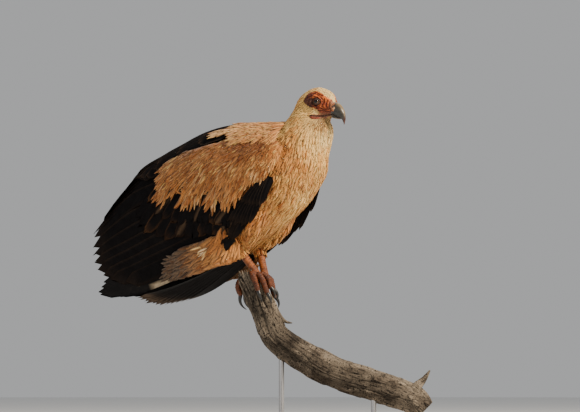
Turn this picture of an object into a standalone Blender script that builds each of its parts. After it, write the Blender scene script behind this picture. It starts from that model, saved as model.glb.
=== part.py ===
"""A life-size palm-nut vulture that grips the broken tip of a dead branch, on a plain display stand.

Row frame: metres, +Z up, origin at the centre of the stand's underside. The bird faces +X, its left is +Y.
Shapes are worked out in the bird's own millimetres: the zero point lies between its feet, on the perch.
"""

import math

import bmesh
import bpy
import numpy as np
from mathutils import Matrix, Vector

MM = 0.001

# ---- Driving dimensions, in millimetres -------------------------------------------------------
PERCH = Vector((-31, -20, 268))  # the bird's zero point, seen from the centre of the stand's underside
GAP = 0.35  # between neighbouring pieces
VIEW_TURN = math.radians(32)  # the branch runs this far to the left of the bird's heading

EYE_PLACE = (128.0, 18.0, 298.6)
EYE_RADIUS = 6.9
BILL_BASE_X = 153.0

HEEL = (-19, 33, 60)  # of the left leg; the right one mirrors it
HUBS = {"left": (11, 10, 1), "right": (9, -10, 9)}  # where each foot's toes meet
TARSUS_RADIUS = 7.0
TOE_RADIUS = 5.0
CLAW_RADIUS = 3.2

TAIL_BASE = (-34, 0, 45)
TAIL_SLOPE = math.radians(24.8)
TAIL_LENGTH = 190
TAIL_FEATHERS = 12
SECONDARIES = 10
PRIMARIES = 6
SCAPULARS = 4

BASE_RADIUS = 178
BASE_THICKNESS = 18
ROD_RADIUS = 4.5
ROD_SINK = 8  # how far a rod's end stays below the branch's centre line
RODS = {"stand_rod_front": 40, "stand_rod_rear": 196}  # how far along the branch's heading each one stands

# Head sections: x, top, bottom, half width
HEAD = [
    (76, 298, 268, 12), (86, 311, 262, 19), (98, 320, 262, 23.5), (112, 326, 267, 24.5),
    (124, 327.3, 271, 23.4), (136, 323.3, 272, 20.4), (145, 318.3, 272.5, 17.2), (151, 312, 272.5, 14.6),
    (156, 305.5, 273, 12.8),
]
# Neck sections: z, centre x, half length, half width
NECK = [
    (300, 100, 17, 14), (288, 99, 27, 24), (274, 99, 38, 34), (262, 98, 50, 42), (248, 95, 52, 51),
    (232, 88, 51, 60), (216, 81, 52, 64),
]
# Trunk sections: x, top, height of the widest point, bottom, half width
TRUNK = [
    (132, 224, 208, 194, 9), (126, 238, 203, 184, 28), (116, 248, 197, 166, 46), (100, 258, 191, 144, 59),
    (80, 265, 185, 120, 68), (58, 269, 176, 102, 73), (30, 271, 164, 82, 75), (0, 271, 152, 67, 74),
    (-28, 264, 142, 48, 69), (-55, 252, 130, 36, 60), (-82, 226, 112, 25, 47), (-104, 184, 92, 18, 33),
    (-122, 132, 70, 22, 18),
]
# The folded wing's outer side: x, upper edge (y, z), widest point (y, z), lower edge (y, z)
WING = [
    (94, 22, 246, 66, 192, 62, 142), (75, 8, 262, 74, 182, 74, 120), (40, 2, 267, 79, 170, 77, 80),
    (0, 1, 269, 80, 156, 74, 42), (-50, 1, 270, 78, 140, 70, 26), (-100, 1, 262, 72, 122, 62, 12),
    (-150, 1, 244, 65, 102, 54, 5), (-200, 1, 224, 56, 82, 47, -2), (-240, 1, 204, 48, 66, 41, -8),
    (-280, 2, 168, 40, 52, 34, -11), (-344, 3, 104, 26, 36, 24, -14),
]
# The branch's centre line from the broken tip: along its heading, to the left of that, up, and its radius
BRANCH = [
    (-8, 0, 4, 22.5), (-1, 2, -22, 22), (10, 3, -46, 23.5), (18, 4, -66, 23.5), (29, 5, -88, 24.5),
    (50, 5, -106, 25.5), (75, 5, -123, 26.5), (98, 4, -137, 27), (125, 3, -150, 26.5), (152, 1, -160, 26.5),
    (177, 0, -167, 27), (202, 0, -174, 27), (227, 1, -183, 27), (252, 3, -193, 26), (268, 5, -203, 24.5),
    (281, 7, -216, 21),
]


def evenly(count, first=0.0, last=1.0):
    """Evenly spaced numbers from first to last."""
    return [first + (last - first) * i / (count - 1) for i in range(count)]


def through(stations):
    """A smooth function through rows of (position, values...)."""
    rows = np.array(sorted(stations), float)
    at, values = rows[:, 0], rows[:, 1:]
    slopes = np.gradient(values, at, axis=0)

    def value(position):
        position = min(max(position, at[0]), at[-1])
        i = min(int(np.searchsorted(at, position, side="right")) - 1, len(at) - 2)
        span = at[i + 1] - at[i]
        t = (position - at[i]) / span
        a, b = values[i], values[i + 1]
        rise_a, rise_b = slopes[i] * span, slopes[i + 1] * span
        blend = (
            a * (2 * t**3 - 3 * t**2 + 1) + rise_a * (t**3 - 2 * t**2 + t)
            + b * (3 * t**2 - 2 * t**3) + rise_b * (t**3 - t**2)
        )
        return [float(v) for v in blend]

    return value


def along(points, share):
    """The point at a share of the way through evenly numbered control points, on a smooth curve."""
    steps = evenly(len(points))
    return Vector(through([(s, *p) for s, p in zip(steps, points)])(share))


# ---- Making objects ---------------------------------------------------------------------------
def start():
    for obj in list(bpy.data.objects):
        bpy.data.objects.remove(obj)
    made = {}
    for name in ("palm_nut_vulture", "cutters"):
        made[name] = bpy.data.collections.new(name)
        bpy.context.scene.collection.children.link(made[name])
    return made


def material(name, colour, roughness, metallic=0.0):
    made = bpy.data.materials.new(name)
    made.use_nodes = True
    shader = made.node_tree.nodes["Principled BSDF"]
    shader.inputs["Base Color"].default_value = (*colour, 1)
    shader.inputs["Roughness"].default_value = roughness
    shader.inputs["Metallic"].default_value = metallic
    return made


def new_mesh(bm, name):
    """A mesh of triangles, so that a piece and its grown copy bend along the same lines."""
    bmesh.ops.triangulate(bm, faces=bm.faces)
    bmesh.ops.recalc_face_normals(bm, faces=bm.faces)
    mesh = bpy.data.meshes.new(name)
    bm.to_mesh(mesh)
    bm.free()
    return mesh


def in_metres(mesh):
    """A mesh in the bird's millimetres, moved into the row frame."""
    mesh.transform(Matrix.Scale(MM, 4) @ Matrix.Translation(PERCH))
    return mesh


def add(name, mesh, finish, cutter=False):
    obj = bpy.data.objects.new(name, mesh)
    COLLECTIONS["cutters" if cutter else "palm_nut_vulture"].objects.link(obj)
    if cutter:
        obj.hide_render = True
        obj.display_type = "WIRE"
    else:
        mesh.materials.clear()
        mesh.materials.append(FINISHES[finish])
        mesh.shade_smooth()
        mesh.set_sharp_from_angle(angle=math.radians(40))
    return obj


def settle(obj):
    """Applies an object's modifiers to its mesh."""
    graph = bpy.context.evaluated_depsgraph_get()
    graph.update()
    mesh = bpy.data.meshes.new_from_object(obj.evaluated_get(graph))
    obj.modifiers.clear()
    obj.data = mesh
    return obj


def loft(bm, rings):
    """A closed tube through rings of points, with its two ends filled."""
    loops = [[bm.verts.new(p) for p in ring] for ring in rings]
    count = len(loops[0])
    for near, far in zip(loops, loops[1:]):
        for i in range(count):
            j = (i + 1) % count
            bm.faces.new((near[i], near[j], far[j], far[i]))
    for ends in (loops[0], loops[-1][::-1]):
        middle = bm.verts.new(sum((v.co for v in ends), Vector()) / count)
        for i in range(count):
            bm.faces.new((ends[i], middle, ends[(i + 1) % count]))


def tube(bm, centres, radii, sides, flatten=1.0, up=Vector((0, 0, 1))):
    """A tapered round tube through its centres. flatten squeezes it along up."""
    rings = []
    for i, centre in enumerate(centres):
        before, after = centres[max(i - 1, 0)], centres[min(i + 1, len(centres) - 1)]
        axis = (after - before).normalized()
        side = axis.cross(up).normalized()
        lift = side.cross(axis)
        turn = [2 * math.pi * k / sides for k in range(sides)]
        rings.append([
            centre + radii[i] * (math.cos(a) * side + math.sin(a) * flatten * lift) for a in turn
        ])
    loft(bm, rings)


def closed_grid(rows_out, rows_in):
    """One solid between an outer and an inner grid of points of the same size."""
    bm = bmesh.new()
    outer = [[bm.verts.new(p) for p in row] for row in rows_out]
    inner = [[bm.verts.new(p) for p in row] for row in rows_in]
    tall, wide = len(outer), len(outer[0])
    for i in range(tall - 1):
        for j in range(wide - 1):
            bm.faces.new((outer[i][j], outer[i + 1][j], outer[i + 1][j + 1], outer[i][j + 1]))
            bm.faces.new((inner[i][j], inner[i][j + 1], inner[i + 1][j + 1], inner[i + 1][j]))
    rim = [(i, 0) for i in range(tall)] + [(tall - 1, j) for j in range(1, wide)]
    rim += [(i, wide - 1) for i in range(tall - 2, -1, -1)] + [(0, j) for j in range(wide - 2, 0, -1)]
    for (a, b), (c, d) in zip(rim, rim[1:] + rim[:1]):
        bm.faces.new((outer[a][b], inner[a][b], inner[c][d], outer[c][d]))
    return bm


def mirrored(mesh):
    """A copy of a mesh on the other side of the bird's middle plane, before it is moved to the perch."""
    copy = mesh.copy()
    copy.transform(Matrix.Diagonal((1, -1, 1, 1)))
    copy.flip_normals()
    return copy


def add_pair(stem, mesh, finish, tail=""):
    """The left piece as modelled, and its mirror image as the right one."""
    right = mirrored(mesh)
    return [
        add(f"{stem}_{side}{tail}", in_metres(m), finish)
        for side, m in (("left", mesh), ("right", right))
    ]


def swollen(obj, name, by):
    """A cutter: a copy of a piece grown by a few tenths of a millimetre."""
    cutter = add(name, obj.data.copy(), None, cutter=True)
    grow = cutter.modifiers.new("grow", "DISPLACE")
    grow.mid_level = 0
    grow.strength = by * MM
    return settle(cutter)


def cut(obj, cutter):
    boolean = obj.modifiers.new("cut", "BOOLEAN")
    boolean.operation = "DIFFERENCE"
    boolean.solver = "EXACT"
    boolean.object = cutter
    settle(obj)
    return obj


def drop_crumbs(obj):
    """Leaves only the largest connected body: a cut beside an edge can leave a crumb behind."""
    bm = bmesh.new()
    bm.from_mesh(obj.data)
    waiting = set(bm.verts)
    bodies = []
    while waiting:
        front = [waiting.pop()]
        body = list(front)
        while front:
            here = front.pop()
            near = [e.other_vert(here) for e in here.link_edges]
            fresh = [v for v in near if v in waiting]
            waiting.difference_update(fresh)
            front += fresh
            body += fresh
        bodies.append(body)
    bodies.sort(key=len)
    crumbs = [v for body in bodies[:-1] for v in body]
    bmesh.ops.delete(bm, geom=crumbs, context="VERTS")
    bm.to_mesh(obj.data)
    bm.free()


# ---- Head, neck and trunk ---------------------------------------------------------------------
def oval(count, place):
    return [place(math.cos(a), math.sin(a)) for a in (2 * math.pi * k / count for k in range(count))]


def head_ring(x):
    top, bottom, half = through(HEAD)(x)
    middle, rise = (top + bottom) / 2, (top - bottom) / 2

    def place(c, s):
        # The cheeks are widest under the eye, and the crown is a little flat.
        full = half * (1 - 0.10 * max(s, 0) ** 2)
        return Vector((x, full * math.copysign(abs(c) ** 0.86, c), middle + rise * s))

    return oval(28, place)


def neck_ring(z, centre, long, half):
    return oval(28, lambda c, s: Vector((centre + long * c, half * s, z)))


def trunk_ring(x):
    top, middle, bottom, half = through(TRUNK)(x)

    def place(c, s):
        reach = top - middle if s > 0 else middle - bottom
        return Vector((x, half * c, middle + reach * s))

    return oval(32, place)


def flesh():
    """Head, neck and trunk as one closed surface, later parted by thin cuts."""
    bm = bmesh.new()
    loft(bm, [head_ring(x) for x in evenly(18, HEAD[0][0], HEAD[-1][0])])
    loft(bm, [neck_ring(*row) for row in NECK])
    loft(bm, [trunk_ring(x) for x in evenly(26, TRUNK[0][0], TRUNK[-1][0])])
    whole = add("flesh_guide", in_metres(new_mesh(bm, "flesh")), None, cutter=True)
    remesh = whole.modifiers.new("remesh", "REMESH")
    remesh.mode = "VOXEL"
    remesh.voxel_size = 2.6 * MM
    relax = whole.modifiers.new("relax", "SMOOTH")
    relax.factor = 0.5
    relax.iterations = 20
    return settle(whole)


def row_point(x, z):
    return (PERCH + Vector((x, 0, z))) * MM


def slice_between(whole, name, finish, faces, keeps):
    """The stretch of flesh on the kept side of each (point, normal), thinned to about `faces` triangles."""
    bm = bmesh.new()
    bm.from_mesh(whole.data)
    for point, normal in keeps:
        geometry = bm.verts[:] + bm.edges[:] + bm.faces[:]
        bmesh.ops.bisect_plane(bm, geom=geometry, plane_co=point, plane_no=normal, clear_inner=True)
        bmesh.ops.holes_fill(bm, edges=[e for e in bm.edges if e.is_boundary], sides=0)
    bmesh.ops.triangulate(bm, faces=bm.faces)
    piece = add(name, new_mesh(bm, name), finish)
    thin = piece.modifiers.new("thin", "DECIMATE")
    thin.ratio = faces / len(piece.data.polygons)
    return settle(piece)


def make_flesh():
    whole = flesh()
    nape = Vector((0.16, 0, 0.987)).normalized()  # the cut under the head rises towards the nape
    collar = Vector((0.42, 0, 0.907)).normalized()  # the cut at the foot of the neck faces up and forward
    gap = GAP * MM
    nape_at, collar_at = row_point(96, 272), row_point(92, 246)
    bill_cut = (row_point(BILL_BASE_X - GAP, 290), Vector((-1, 0, 0)))
    head = slice_between(whole, "head", "skin_and_down", 530, [(nape_at + nape * gap, nape), bill_cut])
    above, below = (nape_at - nape * gap, -nape), (collar_at + collar * gap, collar)
    slice_between(whole, "neck", "down", 210, [above, below])
    trunk = slice_between(whole, "trunk", "down", 440, [(collar_at - collar * gap, -collar)])
    return head, trunk


def make_eyes(head):
    for side, sign in (("left", 1), ("right", -1)):
        x, y, z = EYE_PLACE
        for radius, socket in ((EYE_RADIUS, False), (EYE_RADIUS + GAP, True)):
            bm = bmesh.new()
            bmesh.ops.create_uvsphere(bm, u_segments=8, v_segments=6, radius=radius)
            bmesh.ops.translate(bm, verts=bm.verts, vec=Vector((x, sign * y, z)))
            name = f"socket_{side}" if socket else f"eye_{side}"
            ball = add(name, in_metres(new_mesh(bm, name)), None if socket else "eye", cutter=socket)
            if socket:
                cut(head, ball)


# ---- Bill ------------------------------------------------------------------------------------
# Culmen (top line) and tomium (cutting edge) of the upper bill, from base to hooked tip, and half width
BILL_TOP = [
    (153, 299), (158.5, 297.4), (164, 293.4), (168.8, 287), (172, 279), (173.2, 269.5), (171.2, 260),
]
BILL_EDGE = [
    (153, 277.5), (157.5, 275), (162, 272.8), (165.6, 270.9), (168.6, 268.4), (170.2, 264), (170.7, 259.6),
]
BILL_HALF = [(11.2,), (10.4,), (9.0,), (7.0,), (4.6,), (2.4,), (0.5,)]
LOWER_TOP = [(153, 276.9), (157, 274.7), (161, 272.7), (164, 271.2)]
LOWER_EDGE = [(153, 271.4), (157, 270.2), (161, 269.3), (163.8, 269.6)]
LOWER_HALF = [(8.6,), (7.6,), (5.4,), (2.2,)]


def bill_half(name, tops, edges, halves, finish):
    """A horn sheath: arched over its top line and flat across its cutting edge."""
    bm = bmesh.new()
    rings = []
    arch = [math.radians(a) for a in range(0, 181, 20)]
    for share in evenly(9):
        top_x, top_z = along([(x, z, 0) for x, z in tops], share).xy
        edge_x, edge_z = along([(x, z, 0) for x, z in edges], share).xy
        half = max(along([(h, 0, 0) for (h,) in halves], share).x, 0.45)
        # ring from the left edge over the top line to the right edge, then straight back under
        rings.append([
            Vector((
                edge_x + (top_x - edge_x) * math.sin(a) ** 0.8,
                half * math.cos(a),
                edge_z + (top_z - edge_z) * math.sin(a) ** 0.8,
            ))
            for a in arch
        ])
    loft(bm, rings)
    return add(name, in_metres(new_mesh(bm, name)), finish)


def make_bill():
    bill_half("bill_upper", BILL_TOP, BILL_EDGE, BILL_HALF, "horn")
    tops = [(x, z - GAP) for x, z in LOWER_TOP]
    bill_half("bill_lower", LOWER_EDGE, tops, LOWER_HALF, "horn")


# ---- Folded wings ------------------------------------------------------------------------------
wing_row = through(WING)


def wing_side(x, degrees):
    """The wing's outer side at an angle round it: 0 is the upper edge, 90 the widest, 150 the lower edge."""
    y_top, z_top, y_wide, z_wide, y_low, z_low = wing_row(x)
    if degrees <= 90:
        a = math.radians(degrees)
        return Vector((x, y_top + (y_wide - y_top) * math.sin(a), z_wide + (z_top - z_wide) * math.cos(a)))
    fall = (degrees - 90) / 60
    return Vector((x, y_wide - (y_wide - y_low) * fall**1.6, z_wide - (z_wide - z_low) * fall))


def at_height(x, z):
    """The angle round the wing at which its side is at height z."""
    _, z_top, _, z_wide, _, z_low = wing_row(x)
    if z >= z_wide:
        return math.degrees(math.acos(min(1.0, (z - z_wide) / (z_top - z_wide))))
    return 90 + 60 * (z_wide - z) / (z_wide - z_low)


def wing_point(x, degrees, out):
    here = wing_side(x, degrees)
    across = wing_side(x, degrees + 1) - here
    back = wing_side(x - 1, degrees) - here
    return here + out * across.cross(back).normalized()


def on_wing(points):
    """(x, height) pairs as (x, angle, 0) points, to run curves through."""
    return [(x, at_height(x, z), 0) for x, z in points]


def feather_columns(count):
    """Across a fan of feathers: (share of the fan, how far short of the full length, how raised)."""
    columns = []
    for i in range(count):
        for inside, short, raised in ((0.0, 0.05, 0.0), (0.45, 0.0, 0.6), (0.93, 0.03, 1.0)):
            columns.append(((i + inside) / count, short, raised))
    columns.append((1.0, 0.05, 0.9))
    return columns


def fan(count, rows, roots, tips, outer, inner):
    """A panel of overlapping feathers as one solid, from a line of roots to a line of tips."""
    out_rows, in_rows = [], []
    for share, short, raised in feather_columns(count):
        root, tip = along(roots, share), along(tips, share)
        out_line, in_line = [], []
        for k in range(rows + 1):
            reached = k / rows
            x, degrees = root.lerp(tip, reached * (1 - short * reached)).xy
            step = 0.9 * raised * min(1, 2 * reached)
            thick = (outer - inner) * (1 - 0.55 * reached)
            out_line.append(wing_point(x, degrees, inner + thick + 0.5 * step))
            in_line.append(wing_point(x, degrees, inner + 0.35 * step))
        out_rows.append(out_line)
        in_rows.append(in_line)
    return new_mesh(closed_grid(out_rows, in_rows), "fan")


# Lines of feather roots and tips, as (x, height)
PRIMARY_ROOTS = on_wing([(-8, 66), (0, 80), (5, 94), (6, 108), (0, 120)])
PRIMARY_TIPS = on_wing([(-232, -9), (-295, -13), (-329, -13), (-328, 6), (-326, 26)])
SECONDARY_ROOTS = on_wing([(-6, 86), (-4, 108), (-20, 136), (-46, 168), (-76, 200), (-108, 228), (-140, 246)])
SECONDARY_TIPS = on_wing([
    (-242, 11), (-307, 19), (-332, 42), (-335, 73), (-343, 103), (-325, 132), (-278, 174),
])
# The cushion of coverts: angle of its upper edge and height of its lower edge, by x
COVERT_TOP = [(90, 62), (70, 48), (30, 42), (-20, 37), (-120, 37), (-165, 39), (-192, 47)]
COVERT_LOW = [
    (90, 198), (74, 171), (42, 157), (15, 134), (-8, 112), (-51, 124), (-112, 130), (-168, 152), (-192, 182),
]
# The black leaf of the alula and primary coverts: its front and rear edges, as (x, height)
ALULA_FRONT = on_wing([(75, 171), (71, 150), (60, 126), (46, 104), (21, 80), (-6, 68)])
ALULA_REAR = on_wing([(67, 171), (41, 156), (14, 133), (-8, 111), (-17, 91), (-11, 69)])


def make_coverts():
    """The tan shoulder and forewing coverts: a shallow cushion whose lower edge ends in shaggy points."""
    top_at, low_at = through(COVERT_TOP), through(COVERT_LOW)
    out_rows, in_rows = [], []
    rows, columns = 3, 18
    for j in range(columns):
        share = j / (columns - 1)
        x = 90 + (-192 - 90) * share
        first = top_at(x)[0]
        last = at_height(x, low_at(x)[0] - (7.0 if j % 2 and share > 0.3 else 0.0))
        out_line, in_line = [], []
        for k in range(rows + 1):
            down = k / rows
            swell = math.sin(math.pi * min(1, 0.02 + share)) ** 0.5 * math.sin(math.pi * down) ** 0.6
            out_line.append(wing_point(x, first + (last - first) * down, 2.8 + 4.6 * swell))
            in_line.append(wing_point(x, first + (last - first) * down, 0.4))
        out_rows.append(out_line)
        in_rows.append(in_line)
    return new_mesh(closed_grid(out_rows, in_rows), "coverts")


def make_cape():
    """The black scapulars of one side: a cape of long feathers down the back."""
    out_rows, in_rows = [], []
    rows = 5
    for share, short, raised in feather_columns(SCAPULARS):
        degrees = 1 + 33.5 * share
        reach = 1 - 1.6 * short - 0.2 * share**2
        out_line, in_line = [], []
        for k in range(rows + 1):
            x = -14 - 14 * share - 242 * reach * (k / rows)
            thick = 4.6 * (1 - 0.5 * (k / rows) ** 2)
            out_line.append(wing_point(x, degrees, 0.4 + thick + 0.5 * raised))
            in_line.append(wing_point(x, degrees, 0.4))
        out_rows.append(out_line)
        in_rows.append(in_line)
    return new_mesh(closed_grid(out_rows, in_rows), "cape")


def make_alula():
    """The black alula and primary coverts, at the bend of the wing."""
    out_rows, in_rows = [], []
    for j in range(6):
        across = j / 5
        out_line, in_line = [], []
        for k in range(8):
            share = k / 7
            x, degrees = along(ALULA_FRONT, share).lerp(along(ALULA_REAR, share), across).xy
            lift = 2.8 * math.sin(math.pi * (0.1 + 0.8 * share)) * math.sin(math.pi * (0.15 + 0.7 * across))
            out_line.append(wing_point(x, degrees, lift))
            in_line.append(wing_point(x, degrees, -1.7))
        out_rows.append(out_line)
        in_rows.append(in_line)
    return new_mesh(closed_grid(out_rows, in_rows), "alula")


def make_wings():
    pieces = []
    secondaries = fan(SECONDARIES, 3, SECONDARY_ROOTS, SECONDARY_TIPS, -2.4, -6.2)
    primaries = fan(PRIMARIES, 2, PRIMARY_ROOTS, PRIMARY_TIPS, -7.6, -11.0)
    pieces += add_pair("wing", secondaries, "black_vane", "_secondaries")
    pieces += add_pair("wing", primaries, "pale_vane", "_primaries")
    pieces += add_pair("wing", make_cape(), "black_vane", "_scapulars")
    coverts = add_pair("wing", make_coverts(), "down", "_coverts")
    alulas = add_pair("wing", make_alula(), "black_vane", "_alula")
    for pad, patch in zip(coverts, alulas):
        cut(pad, swollen(patch, pad.name + "_cutter", GAP))
    return pieces + coverts + alulas


# ---- Tail --------------------------------------------------------------------------------------
def tail_point(back, side, out):
    """back is how far along the tail, side is across it, out is above it. It arches at its base, and is
    slightly hollow at its end."""
    base = Vector(TAIL_BASE)
    camber = (0.0076 * back / TAIL_LENGTH - 0.006) * side * side
    return base + Vector((
        -back * math.cos(TAIL_SLOPE) + (out + camber) * -math.sin(TAIL_SLOPE),
        side,
        -back * math.sin(TAIL_SLOPE) + (out + camber) * math.cos(TAIL_SLOPE),
    ))


def make_tail():
    """Twelve tail feathers, half spread, the middle ones longest and on top."""
    out_rows, in_rows = [], []
    rows = 2
    for share, short, raised in feather_columns(TAIL_FEATHERS):
        across = 2 * share - 1
        length = TAIL_LENGTH * (1 - 0.08 * across**2)
        out_line, in_line = [], []
        for k in range(rows + 1):
            v = k / rows
            back = length * v * (1 - 0.8 * short * v)
            side = across * (22 + 60 * v)
            tile = 1.0 * (raised if across < 0 else 1 - raised) * (k > 0)
            out_line.append(tail_point(back, side, 3.4 - 1.6 * v + tile * 0.5))
            in_line.append(tail_point(back, side, tile * 0.4))
        out_rows.append(out_line)
        in_rows.append(in_line)
    return add("tail", in_metres(new_mesh(closed_grid(out_rows, in_rows), "tail")), "black_vane")


# ---- Legs --------------------------------------------------------------------------------------
# Feathered thigh: centre (x, y, z), half length along x, half width
THIGH = [
    ((14, 46, 112), 34, 24), ((10, 43, 96), 30, 22), ((5, 39, 80), 24, 18), ((-2, 34, 67), 16, 13),
    ((-8, 30.5, 58), 10.5, 9.5),
]


def make_thighs(trunk, tarsi, vane_cutters):
    bm = bmesh.new()
    rings = []
    for share in evenly(6):
        rows = [(*centre, long, half) for centre, long, half in THIGH]
        steps = evenly(len(rows))
        x, y, z, long, half = through([(s, *row) for s, row in zip(steps, rows)])(share)
        rings.append(oval(11, lambda c, s: Vector((x + long * c, y + half * s, z))))
    loft(bm, rings)
    body = swollen(trunk, "trunk_cutter", GAP)
    for thigh, tarsus in zip(add_pair("thigh", new_mesh(bm, "thigh"), "down"), tarsi.values()):
        cut(thigh, body)
        cut(tarsus, body)
        for vanes in vane_cutters:
            if thigh.name[-4:] in vanes.name:
                cut(thigh, vanes)
        drop_crumbs(thigh)
        cut(thigh, swollen(tarsus, thigh.name + "_cutter", GAP))


def make_tarsi():
    made = {}
    shares = (0, 0.12, 0.35, 0.65, 0.86, 1)
    swell = (1.25, 1.12, 0.95, 0.92, 1.0, 1.1)
    for side, hub in HUBS.items():
        heel = Vector(HEEL)
        heel.y *= 1 if side == "left" else -1
        centres = [heel.lerp(Vector(hub), s * 0.9) for s in shares]
        bm = bmesh.new()
        tube(bm, centres, [TARSUS_RADIUS * k for k in swell], 10, up=Vector((1, 0, 0)))
        name = f"tarsus_{side}"
        made[side] = add(name, in_metres(new_mesh(bm, name)), "scaly_skin")
    return made


# ---- Branch, toes and claws --------------------------------------------------------------------
def heading(forward, left, up):
    """A point given along the branch's heading, to its left and up."""
    c, s = math.cos(VIEW_TURN), math.sin(VIEW_TURN)
    return Vector((forward * c - left * s, forward * s + left * c, up))


STUB_TOP = heading(*BRANCH[0][:3])
STUB_DOWN = (heading(*BRANCH[2][:3]) - STUB_TOP).normalized()
STUB_FAR = heading(0, 1, 0)
STUB_FRONT = STUB_FAR.cross(STUB_DOWN).normalized()
if STUB_FRONT.x < 0:
    STUB_FRONT.negate()
STUB_RADIUS = BRANCH[0][3]
# Centre lines of the dead twig near the cut end and of the lifted splinter, in the branch's own directions
DEAD_TWIG = [(262, -6, -188), (269, -6, -175), (280, -6, -164), (291, -6, -148)]
SPLINTER = [(32, 0, -50), (40, 0, -60), (48, 0, -66), (58, 0, -68)]


def stub_point(down, degrees, out):
    """A point round the branch's tip: 0 degrees is its front, 90 its left, out is from its centre line."""
    a = math.radians(degrees)
    return STUB_TOP + STUB_DOWN * down + out * (math.cos(a) * STUB_FRONT + math.sin(a) * STUB_FAR)


def rim(degrees):
    """How far down the broken rim lies: a knob stands up at 235 degrees, and the feet's side is low."""
    knob = max(0.0, math.cos(math.radians(degrees - 235))) ** 3
    worn = max(0.0, math.cos(math.radians(degrees - 55)))
    return 7 * worn - 15 * knob


def make_branch():
    bm = bmesh.new()
    centre_at = through([(i, *row) for i, row in enumerate(BRANCH)])
    rings = []
    count, sides = 20, 13
    far = heading(0, 1, 0)
    for k in range(-1, count):
        share = max(k, 0) / (count - 1) * (len(BRANCH) - 1)
        forward, left, up, radius = centre_at(share)
        axis = heading(*centre_at(share + 0.1)[:3]) - heading(*centre_at(share - 0.1)[:3])
        axis.normalize()
        front = far.cross(axis).normalized()
        if front.z < 0 and front.x < 0:
            front.negate()
        ring = []
        for i in range(sides):
            a = 2 * math.pi * i / sides
            ridge = 1 + 0.035 * math.sin(3 * a + share) + 0.03 * math.sin(5 * a - 1.7 * share)
            centre = heading(forward, left, up)
            if k < 1:
                centre = centre + axis * rim(math.degrees(a)) * (0.8 if k < 0 else 1.0)
            across = radius * ridge * (0.55 if k < 0 else 1.0)
            ring.append(centre + across * (math.cos(a) * front + math.sin(a) * far))
        rings.append(ring)
    loft(bm, rings)
    return add("perch_branch", in_metres(new_mesh(bm, "branch")), "dead_wood")


def make_twigs(branch):
    """The dead stub near the cut end, and a splinter under the feet."""
    body = swollen(branch, "branch_cutter", GAP)
    shapes = {
        "perch_twig": (DEAD_TWIG, (11, 8.5, 5.0, 1.2)),
        "perch_splinter": (SPLINTER, (4.5, 3.6, 2.4, 0.9)),
    }
    for name, (path, radii) in shapes.items():
        bm = bmesh.new()
        centres = [along([heading(*p) for p in path], s) for s in evenly(7)]
        spread = [along([(r, 0, 0) for r in radii], s).x for s in evenly(7)]
        tube(bm, centres, spread, 8, flatten=0.8)
        cut(add(name, in_metres(new_mesh(bm, name)), "dead_wood"), body)
    return body


# Each foot's toes: number, angle round the branch at the rim and at the end, reach below the rim
TOES = {
    "left": [(2, -2, -6, 27), (3, 27, 24, 38), (4, 58, 62, 32)],
    "right": [(2, -30, -30, 26), (3, -58, -57, 37), (4, -84, -86, 33)],
}
BACK_TOES = {"left": 138, "right": 172}


def toe_paths(side):
    """(number, centre line, radii, claw's centre line) of each toe of one foot."""
    hub = Vector(HUBS[side])
    rest = STUB_RADIUS + 0.95 * TOE_RADIUS
    found = []
    for number, over, last, reach in TOES[side]:
        edge = rim(over)
        points = [hub, stub_point(edge - 4.6, over, rest - 5.5)]
        for k in range(1, 5):
            share = k / 4
            knuckle = 1.4 * math.sin(math.pi * share * 3) ** 2
            turn = over + (last - over) * share
            points.append(stub_point(edge + reach * (share - 0.12), turn, rest + knuckle))
        end = edge + reach * 0.88
        curve = ((-2, 0.6), (5, 3.4), (12, 3.0), (18, -0.4))
        claw = [stub_point(end + down, last, rest + out) for down, out in curve]
        found.append((number, points, (1.15, 1.1, 1.0, 0.95, 0.88, 0.74), claw))
    over = BACK_TOES[side]
    edge = min(rim(over), 0) - 4
    lip = stub_point(edge - 2, over, 20)
    points = [hub, hub.lerp(lip, 0.55), lip, stub_point(edge + 5, over, rest + 0.8),
              stub_point(edge + 14, over, rest + 2), stub_point(edge + 22, over, rest + 1.5)]
    curve = ((21, 2), (30, 6), (39, 5.5), (48, 0.5))
    claw = [stub_point(edge + down, over, rest + out) for down, out in curve]
    found.append((1, points, (1.15, 1.1, 1.05, 1.0, 0.95, 0.8), claw))
    return found


def make_feet(branch_cutter, tarsi):
    for side, tarsus in tarsi.items():
        cut(tarsus, branch_cutter)
        bm = bmesh.new()
        claws = []
        for number, points, radii, claw in toe_paths(side):
            smooth = [along(points, s) for s in evenly(12)]
            spread = [TOE_RADIUS * along([(r, 0, 0) for r in radii], s).x for s in evenly(12)]
            tube(bm, smooth, spread, 10, up=STUB_FAR)
            claws.append((number, claw))
        bmesh.ops.create_icosphere(
            bm, subdivisions=2, radius=TOE_RADIUS * 1.45, matrix=Matrix.Translation(Vector(HUBS[side]))
        )
        foot = add(f"foot_{side}", in_metres(new_mesh(bm, "foot")), "scaly_skin")
        remesh = foot.modifiers.new("remesh", "REMESH")
        remesh.mode = "VOXEL"
        remesh.voxel_size = 1.2 * MM
        relax = foot.modifiers.new("relax", "SMOOTH")
        relax.iterations = 2
        settle(foot)
        thin = foot.modifiers.new("thin", "DECIMATE")
        thin.ratio = 200 / (2 * len(foot.data.polygons))
        settle(foot)
        cut(foot, branch_cutter)
        cut(foot, swollen(tarsus, f"tarsus_{side}_cutter", GAP))
        for number, claw in claws:
            bm = bmesh.new()
            path = [along(claw, s) for s in evenly(6)]
            spread = [CLAW_RADIUS * (1 - s) ** 0.75 + 0.35 for s in evenly(6)]
            tube(bm, path, spread, 6, up=STUB_FAR)
            made = add(f"claw_{side}_{number}", in_metres(new_mesh(bm, "claw")), "horn")
            cut(made, branch_cutter)
            cut(foot, swollen(made, f"claw_{side}_{number}_cutter", GAP))
        drop_crumbs(foot)


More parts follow.
